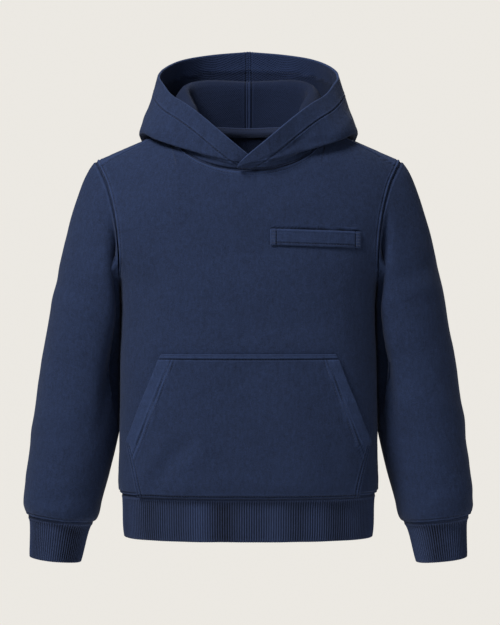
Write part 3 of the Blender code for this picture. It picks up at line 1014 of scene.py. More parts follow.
def fleece_back():
    """The inside face: rows of small loops, in a colour darkened as painted shade."""
    shader = Shader("fleece_back")
    across, along = shader.cloth()
    loops = shader.sine(across * (TURN / LOOP_ACROSS)) * shader.sine(along * (TURN / LOOP_ALONG))
    rows = shader.sine(along * (TURN / LOOP_ROW))
    speckle = shader.noise(700, detail=3)
    cloud = shader.noise(30, detail=3)
    tone = loops * 0.16 + rows * 0.06 + speckle * 0.7 + cloud * 0.25
    # Painted shade in grooves and a painted highlight on crests and rims.
    colour = shader.tinted(colours().inside, tone + shader.crease() * 0.7)
    height = loops * 0.00022 + rows * 0.00008 + speckle * 0.0005 + cloud * 0.0012
    roughness = shader.clamped(0.95 + speckle * 0.2, 0.75, 1.0)
    return shader.finish(colour, roughness, shader.bump(height), 0.05, SHEEN_TINT, 0.12)


def rib_knit():
    """The rib: each rib's own columns of stitches, with painted shade in its furrows and a painted
    highlight on its crests.
    """
    shader = Shader("rib_knit")
    across, along = shader.cloth()
    rib_phase = across * (TURN / sizes().rib_pitch)
    crest = shader.maths("COSINE", rib_phase)
    course = shader.sine(along * (TURN / RIB_COURSE) + shader.maths("ABSOLUTE", crest) * 1.4)
    speckle = shader.noise(900, detail=3)
    mottle = shader.noise(240, detail=3)
    cloud = shader.noise(25, detail=3)
    # Painted shade: the furrows darker and the crests lighter, and below, painted shade and
    # highlight from the seam's relief.
    tone = crest * 0.1 + course * 0.05 + speckle * 0.6 + mottle * 0.4 + cloud * 0.2
    colour = shader.tinted(colours().rib, tone + shader.crease() * 1.3)
    height = course * 0.00005 + speckle * 0.0003 + mottle * 0.0003 + cloud * 0.0009
    roughness = shader.clamped(0.9 + mottle * 0.2, 0.7, 1.0)
    return shader.finish(colour, roughness, shader.bump(height), 0.05, SHEEN_TINT, 0.15)


def thread_material():
    """Twisted polyester thread, a little lighter than the cloth."""
    shader = Shader("thread")
    strand = shader.noise(1.0, detail=2, vector=shader.stretched((1400, 1400, 1400)))
    drift = shader.noise(60, detail=2)
    colour = shader.tinted(colours().thread, strand * 0.8 + drift * 0.5)
    height = strand * 0.0002 + drift * 0.0001
    roughness = shader.clamped(0.62 + strand * 0.3, 0.45, 0.9)
    return shader.finish(colour, roughness, shader.bump(height), 0.1, SHEEN_TINT, 0.35)


def tape_material():
    """A narrow twill tape with its slanting lines."""
    shader = Shader("tape_twill")
    across, along = shader.cloth()
    twill = shader.sine(across * (TURN / TWILL) + along * (TURN / TWILL))
    speckle = shader.noise(900, detail=3)
    # Painted shade in the tape's stitch furrows and a painted highlight along its edges.
    tone = twill * 0.16 + speckle * 0.6 + shader.crease() * 0.6
    colour = shader.tinted(colours().thread, tone)
    height = twill * 0.00012 + speckle * 0.0002
    roughness = shader.clamped(0.85 + speckle * 0.3, 0.6, 1.0)
    return shader.finish(colour, roughness, shader.bump(height), 0.08, SHEEN_TINT, 0.25)


MATERIALS = {
    "face": fleece_face,
    "back": fleece_back,
    "rib": rib_knit,
    "thread": thread_material,
    "tape": tape_material,
}
made_materials = {}


def material(name):
    if name not in made_materials:
        made_materials[name] = MATERIALS[name]()
    return made_materials[name]


# ---------------------------------------------------------------- the pieces


# How far apart a grid's points lie, how far apart beside its ends, and how near them that is.
GRID = (2.8, 0.75, 6.5)


def shares_of(line, wanted):
    """Shares along a densely sampled line for distances along it."""
    return np.interp(wanted, run_of(line), np.linspace(0, 1, len(line)))


def evenly(line, coarse, fine=None, reach=0.0, at_start=True, at_end=True):
    """Shares along a densely sampled line, at even distances and closer together near its ends."""
    return shares_of(line, spaced(0, run_of(line)[-1], coarse, fine, reach, at_start, at_end))


# The share across a panel, from its centre line to its edge, where its top is the middle of the
# shoulder seam; the stitch line forward of that seam; and the fine rows laid for that line and
# for the slit above the welt.
MID_SHOULDER = 0.75
SHOULDER_STITCH = 14.5
SHOULDER_FINE_REACH = 5
SHOULDER_FINE_ROWS = 16
SLIT_FINE_BELOW = 8
SLIT_FINE_ABOVE = 6
SLIT_FINE_ROWS = 22


def finer(shares, low, high, count):
    """Shares with a stretch of them made finer."""
    kept = shares[shares < low - 0.001], shares[shares > high + 0.001]
    return np.concatenate([kept[0], np.linspace(low, high, count), kept[1]])


def panel_sheet(side):
    """The left-to-right grid of a body panel, with (across, up) for each of its points."""
    dense = np.linspace(0, 1, 1201)
    girth = panel_grid(side, dense * 2 - 1, np.array([0.3]))[0]
    rise = panel_grid(side, np.array([0.72]), 1 - dense[::-1] ** 3)[:, 0]
    u = evenly(girth, *GRID) * 2 - 1
    v = 1 - (1 - evenly(rise, *GRID)) ** 3
    if side == "front":
        probe = panel_grid(side, np.array([0.35]), v)[:, 0, 2]
        reach = (WELT["top_z"] - SLIT_FINE_BELOW, WELT["top_z"] + SLIT_FINE_ABOVE)
        v = finer(v, *np.interp(reach, probe, v), SLIT_FINE_ROWS)
        down = panel_grid(side, np.array([MID_SHOULDER]), v)[::-1, 0]
        reach = (SHOULDER_STITCH + SHOULDER_FINE_REACH, SHOULDER_STITCH - SHOULDER_FINE_REACH)
        v = finer(v, *np.interp(reach, run_of(down), v[::-1]), SHOULDER_FINE_ROWS)
    points = panel_grid(side, u, v)
    if side == "back":
        points = points[:, ::-1]
    return mended(Sheet(drawn_back(points, SEAM_EASE, SEAM_EASE, SEAM_EASE, SEAM_EASE)), side)


# How far from the waistband's seam, and from a panel's other edges, its folds have died away.
FADE_UP = 11
FADE_IN = 8


def body_relief(table, points, seed):
    """A panel's folds and its unevenness, dying away towards the waistband's seam."""
    x, z = points[..., 0], points[..., 2]
    relief = folds(table, x, z) + 0.45 * rumple(x, z, seed, 74)
    relief = relief + 0.16 * rumple(x, z, seed + 2, 23)
    return relief * step(z, BAND_SEAM_Z, BAND_SEAM_Z + FADE_UP)


def welt_line(x):
    """Height of the welt's top edge."""
    return WELT["top_z"] - (x - WELT["inner_x"]) * math.tan(math.radians(WELT["slope"]))


FRONT_SEED = 0.4
BACK_SEED = 5.1


def add_panel(side):
    sheet = panel_sheet(side)
    front = side == "front"
    table, seed = (FRONT_FOLDS, FRONT_SEED) if front else (BACK_FOLDS, BACK_SEED)
    stitch = drafted("topstitch")
    x, z = sheet.points[..., 0], sheet.points[..., 2]
    large = body_relief(table, sheet.points, seed)
    beside = np.minimum(sheet.from_start, sheet.from_end)
    large = large * step(np.minimum(beside, sheet.from_top), 0, FADE_IN)
    in_armhole = step(z, UNDERARM_Z - 4, UNDERARM_Z + 6)
    plain = seam(beside, z, seed + 1, dip=1.0)
    stitched = seam(beside, z, seed + 2, stitch)
    small = plain + (stitched - plain) * in_armhole
    top = seam(sheet.from_top, x, seed + 3, stitch)
    if front:
        outside = step(np.abs(x), NECK_HALF_WIDTH - 4, NECK_HALF_WIDTH + 4)
        shoulder = seam(sheet.from_top, x, seed + 3) + groove(sheet.from_top, SHOULDER_STITCH, 1.1)
        shoulder = shoulder + 0.35 * (1 - step(sheet.from_top, 13, SHOULDER_STITCH + 1))
        top = top + (shoulder - top) * outside
    else:
        flat_top = seam(sheet.from_top, x, seed + 3)
        top = flat_top + (top - flat_top) * (np.abs(x) < NECK_HALF_WIDTH + 1)
    small = small + top + seam(sheet.from_bottom, x, seed + 4, stitch * 0.9)
    if front:
        # The slit above the welt: a deep furrow, also painted dark as the shade in the pocket's
        # mouth.
        gap = z - welt_line(x)
        within = step(x, WELT["inner_x"] - 1, WELT["inner_x"] + 3)
        within = within * (1 - step(x, WELT["outer_x"] - 3, WELT["outer_x"] + 1))
        small = small - 1.9 * hump(gap, 1.3, 1.0) * within + 0.45 * hump(gap, 3.6, 1.3) * within
    uv = np.stack([sheet.from_start, sheet.from_bottom], axis=-1)
    name = f"{side}_cloth"
    obj, right = add_cloth(name, sheet, large, small, FLEECE_THICKNESS, FLEECE, uv)
    hand_over(obj, "fleece", f"{side}_panel")
    lines = []
    for edge in ("start", "end"):
        points, normals = sheet.line(right, edge, stitch)
        keep = points[:, 2] > UNDERARM_Z - 1
        lines.append((points[keep][:-3], normals[keep][:-3]))
    points, normals = sheet.line(right, "top", stitch)
    keep = np.abs(points[:, 0]) < NECK_HALF_WIDTH - (4 if front else 0)
    lines.append((points[keep], normals[keep]))
    if front:
        points, normals = sheet.line(right, "top", SHOULDER_STITCH)
        for keep in (points[:, 0] > NECK_HALF_WIDTH - 2, points[:, 0] < 2 - NECK_HALF_WIDTH):
            lines.append((points[keep], normals[keep]))
    lines.append(sheet.line(right, "bottom", stitch * 0.9))
    stitches = add_stitching(f"{side}_stitches", lines)
    width, height = sheet.width(), sheet.height()
    min(sheet.area(), width * height)


def pouch_points(rows, shares):
    z, s = np.meshgrid(rows, shares, indexing="ij")
    x = s * POUCH.straight(z, "half_width")
    return body_surface(x, z, "front")


def slant():
    """The slanted opening's lower end (x, z), and how far it runs in and up from there."""
    low, high = POUCH.rows[1:]
    run, rise = low["half_width"] - high["half_width"], high["z"] - low["z"]
    return low["half_width"], low["z"], run, rise


def from_slant(x, z):
    """How far inside the line of the pouch's slanted opening a point lies."""
    low_x, low_z, run, rise = slant()
    return ((low_x - x) * rise - (z - low_z) * run) / math.hypot(run, rise)


def slant_x(distance, z):
    """Where a line at a distance inside the slanted opening lies at a height."""
    low_x, low_z, run, rise = slant()
    return low_x - (distance * math.hypot(run, rise) + (z - low_z) * run) / rise


# The pouch's columns lie close out to past its hems, its two side lines start this far in, and
# it lies this far off the front.
POUCH_GRID = (2.6, 0.75, 16)
POUCH_SIDE = 2.0
POUCH_OFF = 0.75
# A hem's line is sewn where there is this much cloth outside it.
HEM_ROOM = 5.2


def add_pouch():
    bottom, corner, top = (row["z"] for row in POUCH.rows)
    low = spaced(bottom + 0.4, corner, *GRID, at_end=False)
    rows = np.concatenate([low[:-1], spaced(corner, top, *GRID, at_start=False)])
    dense = np.linspace(-1, 1, 801)
    shares = evenly(pouch_points(np.array([corner]), dense)[0], *POUCH_GRID) * 2 - 1
    sheet = Sheet(pouch_points(rows, shares))
    x, z = sheet.points[..., 0], sheet.points[..., 2]
    beside = np.minimum(sheet.from_start, sheet.from_end)
    hem, gap, stitch = drafted("pouch_hem"), drafted("twin_gap"), drafted("topstitch")
    opening = step(z, corner - 2, corner + 6) * (1 - step(z, top - 7, top - 1))
    under = body_relief(FRONT_FOLDS, sheet.points, FRONT_SEED)
    lift = 1.6 * np.exp(-beside / 16) * opening * (1 + 0.3 * ripple(z, 2.2, (45, 80)))
    large = under + POUCH_OFF + 0.2 * rumple(x, z, 3.3, 40) + lift
    slanted = from_slant(np.abs(x), z)
    inside = step(beside, 4.6, 6.2) + step(z, corner - 1, corner + 1)
    inside = np.minimum(inside, 1) * (1 - step(z, top - stitch - 1.6, top - stitch - 0.4))
    hem_pad = 0.5 * (1 - step(slanted, hem + gap - 0.5, hem + gap + 1.5)) * inside
    hem_lines = (groove(slanted, hem, 1.15) + groove(slanted, hem + gap, 0.85)) * inside
    lower = 1 - step(z, corner - 6, corner + 2)
    side_lines = groove(beside, POUCH_SIDE, 0.6) + groove(beside, POUCH_SIDE + gap, 0.8)
    top_lines = groove(sheet.from_top, stitch + 0.8, 1.1) + 0.3 * hump(sheet.from_top, 2.2, 1.6)
    pucker = 0.2 * ripple(z, 7.0, (8, 13, 21)) * np.exp(-beside / 12) * opening
    pucker = pucker + 0.15 * ripple(x, 9.0, (8, 13, 21)) * np.exp(-sheet.from_top / 9)
    small = hem_pad + hem_lines + side_lines * lower + top_lines + pucker
    small = small - 0.8 * hump(sheet.from_bottom, 0, 1.0) + groove(sheet.from_bottom, stitch * 0.9)
    uv = np.stack([x, z], axis=-1)
    large = large + FLEECE_THICKNESS
    obj, right = add_cloth("pouch_cloth", sheet, large, small, FLEECE_THICKNESS, FLEECE, uv)
    hand_over(obj, "fleece", "pouch_pocket")
    lines = []
    for edge, way in (("start", -1), ("end", 1)):
        for distance in (hem, hem + gap):
            heights = sheet.points[:, 0, 2]
            places = slant_x(distance, heights)
            points, normals = sheet.at_x(right, way * places)
            room = POUCH.straight(heights, "half_width") - places
            keep = (room > HEM_ROOM) & (heights < top - stitch - 1.5)
            lines.append((points[keep], normals[keep]))
        for distance in (POUCH_SIDE, POUCH_SIDE + gap):
            points, normals = sheet.line(right, edge, distance)
            keep = points[:, 2] < corner + 1
            lines.append((points[keep][2:], normals[keep][2:]))
    points, normals = sheet.line(right, "top", stitch + 0.8)
    lines.append((points[3:-3], normals[3:-3]))
    lines.append(sheet.line(right, "bottom", stitch * 0.9))
    stitches = add_stitching("pouch_stitches", lines)
    sheet.area()


# How far the welt lies off the front, the gap between its bars' stitch lines, and how far its
# lower line lies from its edge.
WELT_OFF = 0.4
BAR_STITCH_GAP = 0.8
WELT_STITCH = 1.8


def add_welt():
    run = spaced(0, WELT["outer_x"] - WELT["inner_x"], 1.6, 0.55, 7)
    up = spaced(0, WELT["height"], 0.6)
    x, rise = np.meshgrid(WELT["inner_x"] + run, up)
    z = welt_line(x) - WELT["height"] + rise
    sheet = Sheet(body_surface(x, z, "front"))
    under = body_relief(FRONT_FOLDS, sheet.points, FRONT_SEED)
    beside = np.minimum(sheet.from_start, sheet.from_end)
    edge = np.minimum(beside, sheet.from_bottom)
    large = under + WELT_OFF + FLEECE_THICKNESS
    bars = 1 - step(beside, WELT["bar"] - 0.4, WELT["bar"] + 0.4)
    small = 0.2 * step(edge, 0, 1.4) + 0.5 * hump(sheet.from_top, 0.6, 0.9) * (1 - bars)
    small = small - 0.9 * hump(beside, WELT["bar"] + 0.2, 0.65)
    small = small - 0.8 * hump(sheet.from_bottom, 1.9, 0.6) * (1 - bars)
    small = small + 0.35 * bars + 0.12 * ripple(x, 4.0, (9, 15, 24))
    uv = np.stack([x, z], axis=-1)
    obj, right = add_cloth("welt_cloth", sheet, large, small, FLEECE_THICKNESS, FLEECE, uv)
    hand_over(obj, "fleece", "chest_welt")
    lines = []
    for edge_name in ("start", "end"):
        for distance in np.arange(1.0, WELT["bar"], BAR_STITCH_GAP):
            lines.append(sheet.line(right, edge_name, distance))
    lines.append(sheet.line(right, "bottom", WELT_STITCH))
    stitches = add_stitching("welt_stitches", lines)
    width, height = sheet.width(), sheet.height()
    min(sheet.area(), width * height)


# Columns of points for each rib.
RIB_COLUMNS = 6


def band_ring(shares, z):
    """Points round the body at shares of a turn from the left side seam by the back."""
    turn_quarters = shares * 4
    quadrant = np.floor(turn_quarters).astype(int) % 4
    t = turn_quarters - np.floor(turn_quarters)
    turn = np.where(quadrant % 2 == 0, 1 - t, t)
    x = np.where((quadrant == 0) | (quadrant == 3), 1, -1) * x_of(turn, z)
    front, back = body_surface(x, z, "front"), body_surface(x, z, "back")
    return np.where((quadrant >= 2)[..., None], front, back)


def cuff_ring(shares, z):
    """Points round the left cuff at shares of a turn."""
    return ring(CUFF, z, shares * TURN)


def rib_sheet(points_at, rows, middle_z, samples):
    """A closed sheet with a whole number of ribs round it, its map and its cut length."""
    dense = np.linspace(0, 1, samples)
    line = points_at(dense, np.full(dense.shape, middle_z))
    around, pitch = run_of(line)[-1], drafted("rib_pitch")
    ribs = round(around / pitch)
    columns = np.arange(ribs * RIB_COLUMNS)
    shares = shares_of(line, columns / (ribs * RIB_COLUMNS) * around)
    share, z = np.meshgrid(shares, rows)
    sheet = Sheet(drawn_back(points_at(share, z), top=SEAM_EASE), closed=True)
    uv = np.stack([np.broadcast_to(columns * pitch / RIB_COLUMNS, share.shape), z], axis=-1)
    return sheet, uv, ribs * pitch * MM


def rib_relief(sheet, seed):
    """The ribs' rounds and furrows, squeezed flat by the seam and softened over the fold."""
    column = np.arange(sheet.points.shape[1])
    from_bottom, from_top = sheet.from_bottom, sheet.from_top
    crest = np.cos(TURN * column / RIB_COLUMNS)[None, :]
    wander = 1 + 0.22 * ripple(column * 0.4, seed, (17, 31, 53))[None, :]
    flat = step(from_top, 0.4, 4) * (0.55 + 0.45 * step(from_bottom, 0, 5))
    relief = drafted("rib_depth") * 0.5 * crest * wander * flat
    relief = relief - 0.25 * hump(from_top, 0, 0.9) + 0.4 * hump(from_top, 2.2, 1.0)
    roll = ripple(column * 0.4, seed + 2, (38, 61, 90))[None, :]
    return relief + 0.35 * roll * step(from_top, 1, 10)


# The heights round which the ribs are counted, where the rows start to lie close below a seam,
# and the cuff's ends.
WAIST_MIDDLE_Z = -405
WAIST_CLOSE_Z = HEM_Z + 30
CUFF_MIDDLE_Z = -430
CUFF_CLOSE_Z = -421
CUFF_END_Z = -452
CUFF_TOP_Z = -410.4


def add_waistband():
    low = spaced(HEM_Z, WAIST_CLOSE_Z, 3.4, 1.2, 4, at_end=False)
    rows = np.concatenate([low, spaced(WAIST_CLOSE_Z + 1.2, BAND_SEAM_Z - 0.1, 1.1)])
    sheet, uv, length = rib_sheet(band_ring, rows, WAIST_MIDDLE_Z, 8001)
    height, small = sheet.height(), rib_relief(sheet, 1.3)
    obj, _ = add_cloth("waistband_cloth", sheet, 0.0, small, RIB_THICKNESS, RIB, uv)
    hand_over(obj, "rib", "waistband")
    min(sheet.area(), length * height)


def add_cuffs():
    low = spaced(CUFF_END_Z, CUFF_CLOSE_Z, 3.0, 1.2, 4, at_end=False)
    rows = np.concatenate([low, spaced(CUFF_CLOSE_Z + 1, CUFF_TOP_Z, 0.8)])
    sheet, uv, length = rib_sheet(cuff_ring, rows, CUFF_MIDDLE_Z, 4001)
    height = sheet.height()
    for side, seed in (("left", 3.1), ("right", 7.7)):
        small = rib_relief(sheet, seed)
        obj, _ = add_cloth(f"cuff_{side}_cloth", sheet, 0.0, small, RIB_THICKNESS, RIB, uv)
        if side == "right":
            mirror(obj)
        hand_over(obj, "rib", f"cuff_{side}")
        min(sheet.area(), length * height)


def mirror(obj):
    """Turns a piece into its twin on the wearer's other side, still the right way out."""
    obj.data.transform(((-1, 0, 0, 0), (0, 1, 0, 0), (0, 0, 1, 0), (0, 0, 0, 1)))
    obj.data.flip_normals()


# Round a sleeve, by its middle's radius. The valley where it hangs against the body lies this
# many degrees from its inner side, starts this much further round at the sleeve's head, and is
# this deep at the back and at the front.
SLEEVE_RADIUS = 48
VALLEY_TURN = 44
VALLEY_SHIFT = 38
VALLEY_DEPTHS = ((1, 12.0), (-1, 7.0))
# Millimetres below the neck point where the valley starts, comes in from its shift, settles
# against the body, narrows and ends.
VALLEY_STARTS = (40, 80)
VALLEY_COMES_IN = (90, 190)
VALLEY_SETTLES = (130, 175)
VALLEY_NARROWS = (190, 240)
VALLEY_ENDS = (235, 345)
SLEEVE_SEAM_Z = -410
CAP_Z = -200


def valley(around, z, from_top):
    """How far a sleeve is pressed in, by degrees round it and by height."""
    total = 0.0
    down = -z
    for way, depth in VALLEY_DEPTHS:
        # Above the underarm it runs down and inwards beside the armhole seam.
        middle = VALLEY_TURN + VALLEY_SHIFT * (1 - step(down, *VALLEY_COMES_IN))
        off = (around - 180) * way
        away = np.radians(np.maximum(off - middle, 0)) * 50
        low = 26 - 16 * step(down, *VALLEY_NARROWS)
        held = np.exp(-((away / 14) ** 2)) * step((off - low) / 16, 0, 1)
        above = np.exp(-(((off - middle) / 15) ** 2))
        held = above + (held - above) * step(down, *VALLEY_SETTLES)
        reach = step(down, *VALLEY_STARTS) * (1 - step(down, *VALLEY_ENDS))
        reach = reach * step(from_top, 0, 10)
        total = total + depth * held * reach
    return total


def add_sleeves():
    stitch = drafted("topstitch")
    dense = np.linspace(0, 1, 2001)
    girth = ring(SLEEVE, np.full(dense.shape, -260.0), dense * TURN)
    angles = evenly(girth, GRID[0])[:-1] * TURN
    heights = spaced(SLEEVE_SEAM_Z, CAP_Z, *GRID, at_end=False)
    cap_line = sleeve_grid(np.array([CAP_Z - 10.0, CAP_Z]), 1 - dense, np.array([0.0, 0.5]))
    cap = 1 - evenly(cap_line[2:, 0], *GRID, at_start=False)[1:]
    points = sleeve_grid(heights, cap, angles)
    sheet = Sheet(drawn_back(points, SEAM_EASE, SEAM_EASE), closed=True)
    around = np.degrees(angles)[None, :] * np.ones((len(sheet.points), 1))
    z = sheet.points[..., 2]
    across = np.radians(around) * SLEEVE_RADIUS
    width, height = sheet.width(), sheet.height()
    for side, seed in (("left", 2.1), ("right", 6.3)):
        large = sleeve_folds(side, around, z) + 0.4 * rumple(across, z, seed, 62)
        large = large + 0.16 * rumple(across, z, seed + 2, 23)
        large = large * step(sheet.from_top, 0, 10) - valley(around, z, sheet.from_top)
        underarm = np.radians(np.abs(around - 180)) * SLEEVE_RADIUS
        small = -0.7 * hump(underarm, 0, 1.2) + 0.3 * hump(underarm, 3, 1.6)
        small = small + seam(sheet.from_bottom, across, seed + 1, stitch)
        small = small - 0.75 * hump(sheet.from_top, 0, 1.0) + 0.35 * hump(sheet.from_top, 2.4, 1.4)
        small = small + 0.2 * ripple(across, seed, (9, 15, 24)) * np.exp(-sheet.from_top / 10)
        inward = step(-np.cos(angles), 0.5, 0.9)[None, :] * step(-z, 150, 190)
        large = np.where(large > 0, large * (1 - inward), large)
        small = small * (1 - 0.8 * inward)
        uv = np.stack([across, z], axis=-1)
        name = f"sleeve_{side}_cloth"
        obj, right = add_cloth(name, sheet, large, small, FLEECE_THICKNESS, FLEECE, uv)
        points, normals = sheet.line(right, "bottom", stitch)
        if side == "right":
            mirror(obj)
            points, normals = points * (-1, 1, 1), normals * (-1, 1, 1)
        hand_over(obj, "fleece", f"sleeve_{side}")
        stitches = add_stitching(f"sleeve_{side}_stitches", [(points, normals)], closed=True)
        min(sheet.area(), width * height)


def sleeve_folds(side, turn, z):
    """The folds of one sleeve, round by degrees and up by millimetres."""
    total = np.zeros(turn.shape)
    shift, swing, sink = (0, 0, 1.0) if side == "left" else (-14, 12, 0.9)
    for row in SLEEVE_FOLDS.rows:
        away = (turn - row["turn"] - swing + 180) % 360 - 180
        total += sink * trough(row, row["slant"], away * 0.84, z - row["z"] - shift, 0.6)
    return total


# Fine rows start this far below the hood's turned hem, and lie this far apart.
HEM_FINE_BELOW = 18
HEM_FINE = 0.8
HOOD_RADIUS = 80
# The hem's stitch line lies this far inside its turned edge, and the line that holds down the
# centre seam this far from it.
HEM_STITCH = 1.6
CENTRE_STITCH = 2.7


def add_hood_half(side):
    left = side == "left"
    lap = HOOD_LAP if left else -UNDERLAP
    hem = drafted("hood_hem")
    dense = np.linspace(0, 1, 1501)
    rim = HOOD_TURNS[0] + dense * (HOOD_TURNS[1] - HOOD_TURNS[0])
    rim_line = np.stack([HOOD.smooth(rim, f"rim_{axis}") for axis in "xyz"], axis=-1)
    shares = evenly(rim_line, 2.6, 0.8, 6)
    turns = HOOD_TURNS[0] + shares * (HOOD_TURNS[1] - HOOD_TURNS[0])
    line = hood_grid(np.array([100.0]), dense, 0.0)[:, 0]
    length = run_of(line)[-1]
    fine = shares_of(line, spaced(length - hem - HEM_FINE_BELOW, length, HEM_FINE))
    spread = evenly(line, *GRID)
    spread = np.concatenate([spread[spread < fine[0]], fine])
    points = drawn_back(hood_grid(turns, spread, lap), bottom=SEAM_EASE, end=SEAM_EASE)
    sheet = Sheet(points)
    seed = 1.9 if left else 5.7
    share = np.broadcast_to(spread[:, None], points.shape[:2])
    turn = np.broadcast_to(turns[None, :], points.shape[:2])
    large = hood_folds(side, turn, share)
    across = np.radians(turn) * HOOD_RADIUS
    large = large + 0.4 * rumple(across, sheet.from_bottom, seed, 58)
    large = large * step(sheet.from_bottom, 0, 10) * step(sheet.from_end, 0, 12)
    small = seam(sheet.from_bottom, across, seed)
    small = small - 0.7 * hump(sheet.from_end, 0, 1.0) + 0.3 * hump(sheet.from_end, 2.6, 1.6)
    small = small + groove(sheet.from_top, hem - HEM_STITCH)
    small = small + 0.18 * ripple(across, seed + 1, (9, 15, 24)) * hump(sheet.from_top, hem, 9)
    inner = 0.8 * step(hem + 0.6 - sheet.from_top, 0, 1.2)
    inner = inner + groove(sheet.from_top, hem - HEM_STITCH, 0.8)
    inner = inner + 0.5 * hump(sheet.from_end, 1.2, 0.8)
    inner = inner + groove(sheet.from_end, CENTRE_STITCH, 0.8)
    inner = inner + 0.2 * ripple(across, seed + 4, (10, 16, 26)) * hump(sheet.from_top, hem, 10)
    uv = np.stack([across, sheet.from_bottom], axis=-1)
    name = f"hood_{side}_cloth"
    obj, right = add_cloth(name, sheet, large, small, FLEECE_THICKNESS, FLEECE, uv, inner)
    wrong = sheet.raised(large - FLEECE_THICKNESS - inner)
    lines = []
    for surface, sign in ((right, 1), (wrong, -1)):
        points, normals = sheet.line(surface, "top", hem - HEM_STITCH)
        lines.append((points, normals * sign))
    if not left:
        mirror(obj)
        lines = [(points * (-1, 1, 1), normals * (-1, 1, 1)) for points, normals in lines]
    hand_over(obj, "fleece", f"hood_{side}")
    stitches = add_stitching(f"hood_{side}_stitches", lines)
    sheet.area()


def hood_folds(side, turn, share):
    """The folds of one hood half, round by degrees and by share from the neck to the rim."""
    total = np.zeros(turn.shape)
    shift, sink = (0, 1.0) if side == "left" else (9, 0.85)
    for row in HOOD_FOLDS.rows:
        da = (turn - row["turn"] - shift) / row["length"]
        db = share - row["share"] - row["slant"] * (turn - row["turn"]) / 90
        total += row["height"] * sink * np.exp(-(da**4) - (db / row["width"]) ** 2)
    return total


# How far the tape reaches either side of the neck seam, its gap from the cloth, its thickness,
# the width that its strip is cut to, and how far its stitch lines lie from its edges.
TAPE_REACH = 4.0
TAPE_GAP = 0.7
TAPE_THICKNESS = 1.0
TAPE_CUT_WIDTH = 10.5
TAPE_STITCH = 0.9


def lane_at(lanes, distances):
    """Points at distances along each of a grid's columns, from its first row."""
    columns = lanes.swapaxes(0, 1)
    return np.stack([read(distances, run_of(column), column) for column in columns], axis=1)


def add_tape():
    """The neck tape, inside the back panel and the hood, over their seam."""
    turns = np.linspace(91, 180, 90)
    near = np.linspace(0, 1, 160)
    below = panel_grid("back", (180 - turns) / 180, 1 - (0.28 * near) ** 2)
    above = hood_grid(turns, near * 0.16, 0.0)
    steps = np.linspace(0, TAPE_REACH, 6)
    rows = np.concatenate([lane_at(below, steps)[::-1], lane_at(above, steps)[1:]])
    twin = rows[:, -2::-1] * (-1, 1, 1)
    sheet = Sheet(np.concatenate([rows, twin], axis=1))
    large = -(FLEECE_THICKNESS + TAPE_GAP)
    edge = np.minimum(sheet.from_bottom, sheet.from_top)
    furrow = 0.25 * hump(edge, TAPE_STITCH, 0.45)
    uv = np.stack([sheet.from_start, sheet.from_bottom], axis=-1)
    obj, _ = add_cloth("tape_cloth", sheet, large, 0.0, TAPE_THICKNESS, TAPE, uv, -furrow)
    hand_over(obj, "tape", "neck_tape")
    wrong = sheet.raised(large - TAPE_THICKNESS + furrow)
    lines = []
    for name in ("bottom", "top"):
        points, normals = sheet.line(wrong, name, TAPE_STITCH)
        lines.append((points, -normals))
    stitches = add_stitching("tape_stitches", lines)
    shown = Sheet(sheet.raised(large - TAPE_THICKNESS))
    length = shown.width()
    min(shown.area(), TAPE_CUT_WIDTH * MM * length)


# ---------------------------------------------------------------- the studio

BACKDROP_SIZE = (4.2, 4.2)
BACKDROP_Y = 7.5
FLOOR_SIZE = (7.0, 5.6)
FLOOR_END_Y = 1.6
FLOOR_Z = -0.8
EYE = (0.0016, -2.1, -0.1937)
LENS = 115
LAMPS = (
    ("key_light", (-1.15, -1.25, 1.45), (0, 0, -0.08), 0.9, 66),
    ("fill_light", (1.5, -1.9, 0.2), (0, 0, -0.2), 1.8, 7),
    ("top_light", (0.1, 0.9, 1.9), (0, 0, -0.1), 1.4, 6),
    ("back_light", (0.9, 2.4, 0.6), (0, 0, -0.2), 1.4, 14),
)


def studio_material(name, glow):
    """Pale paper that keeps an even tone."""
    shader = Shader(name)
    grain = shader.noise(90, detail=3)
    colour = shader.tinted(colours().studio, grain * 0.02)
    shader.put(shader.surface.inputs["Base Color"], colour)
    shader.surface.inputs["Roughness"].default_value = 0.9
    shader.surface.inputs["Specular IOR Level"].default_value = 0.1
    if glow:
        shader.put(shader.surface.inputs["Emission Color"], colour)
        shader.surface.inputs["Emission Strength"].default_value = glow
        dark = shader.tinted((0.02, 0.02, 0.02), grain * 0.02)
        shader.put(shader.surface.inputs["Base Color"], dark)
    return shader.material


def aim(obj, target):
    direction = Vector(target) - obj.location
    obj.rotation_euler = direction.to_track_quat("-Z", "Y").to_euler()


def add_sheet_of_paper(name, size, location, upright, glow):
    bpy.ops.object.select_all(action="DESELECT")
    bpy.ops.mesh.primitive_plane_add(size=1)
    plane = bpy.context.object
    plane.name = name
    plane.scale = (*size, 1)
    plane.location = location
    plane.rotation_euler = (math.pi / 2 if upright else 0, 0, 0)
    bpy.ops.object.transform_apply(location=True, rotation=True, scale=True)
    plane.data.materials.append(studio_material(f"{name}_paper", glow))


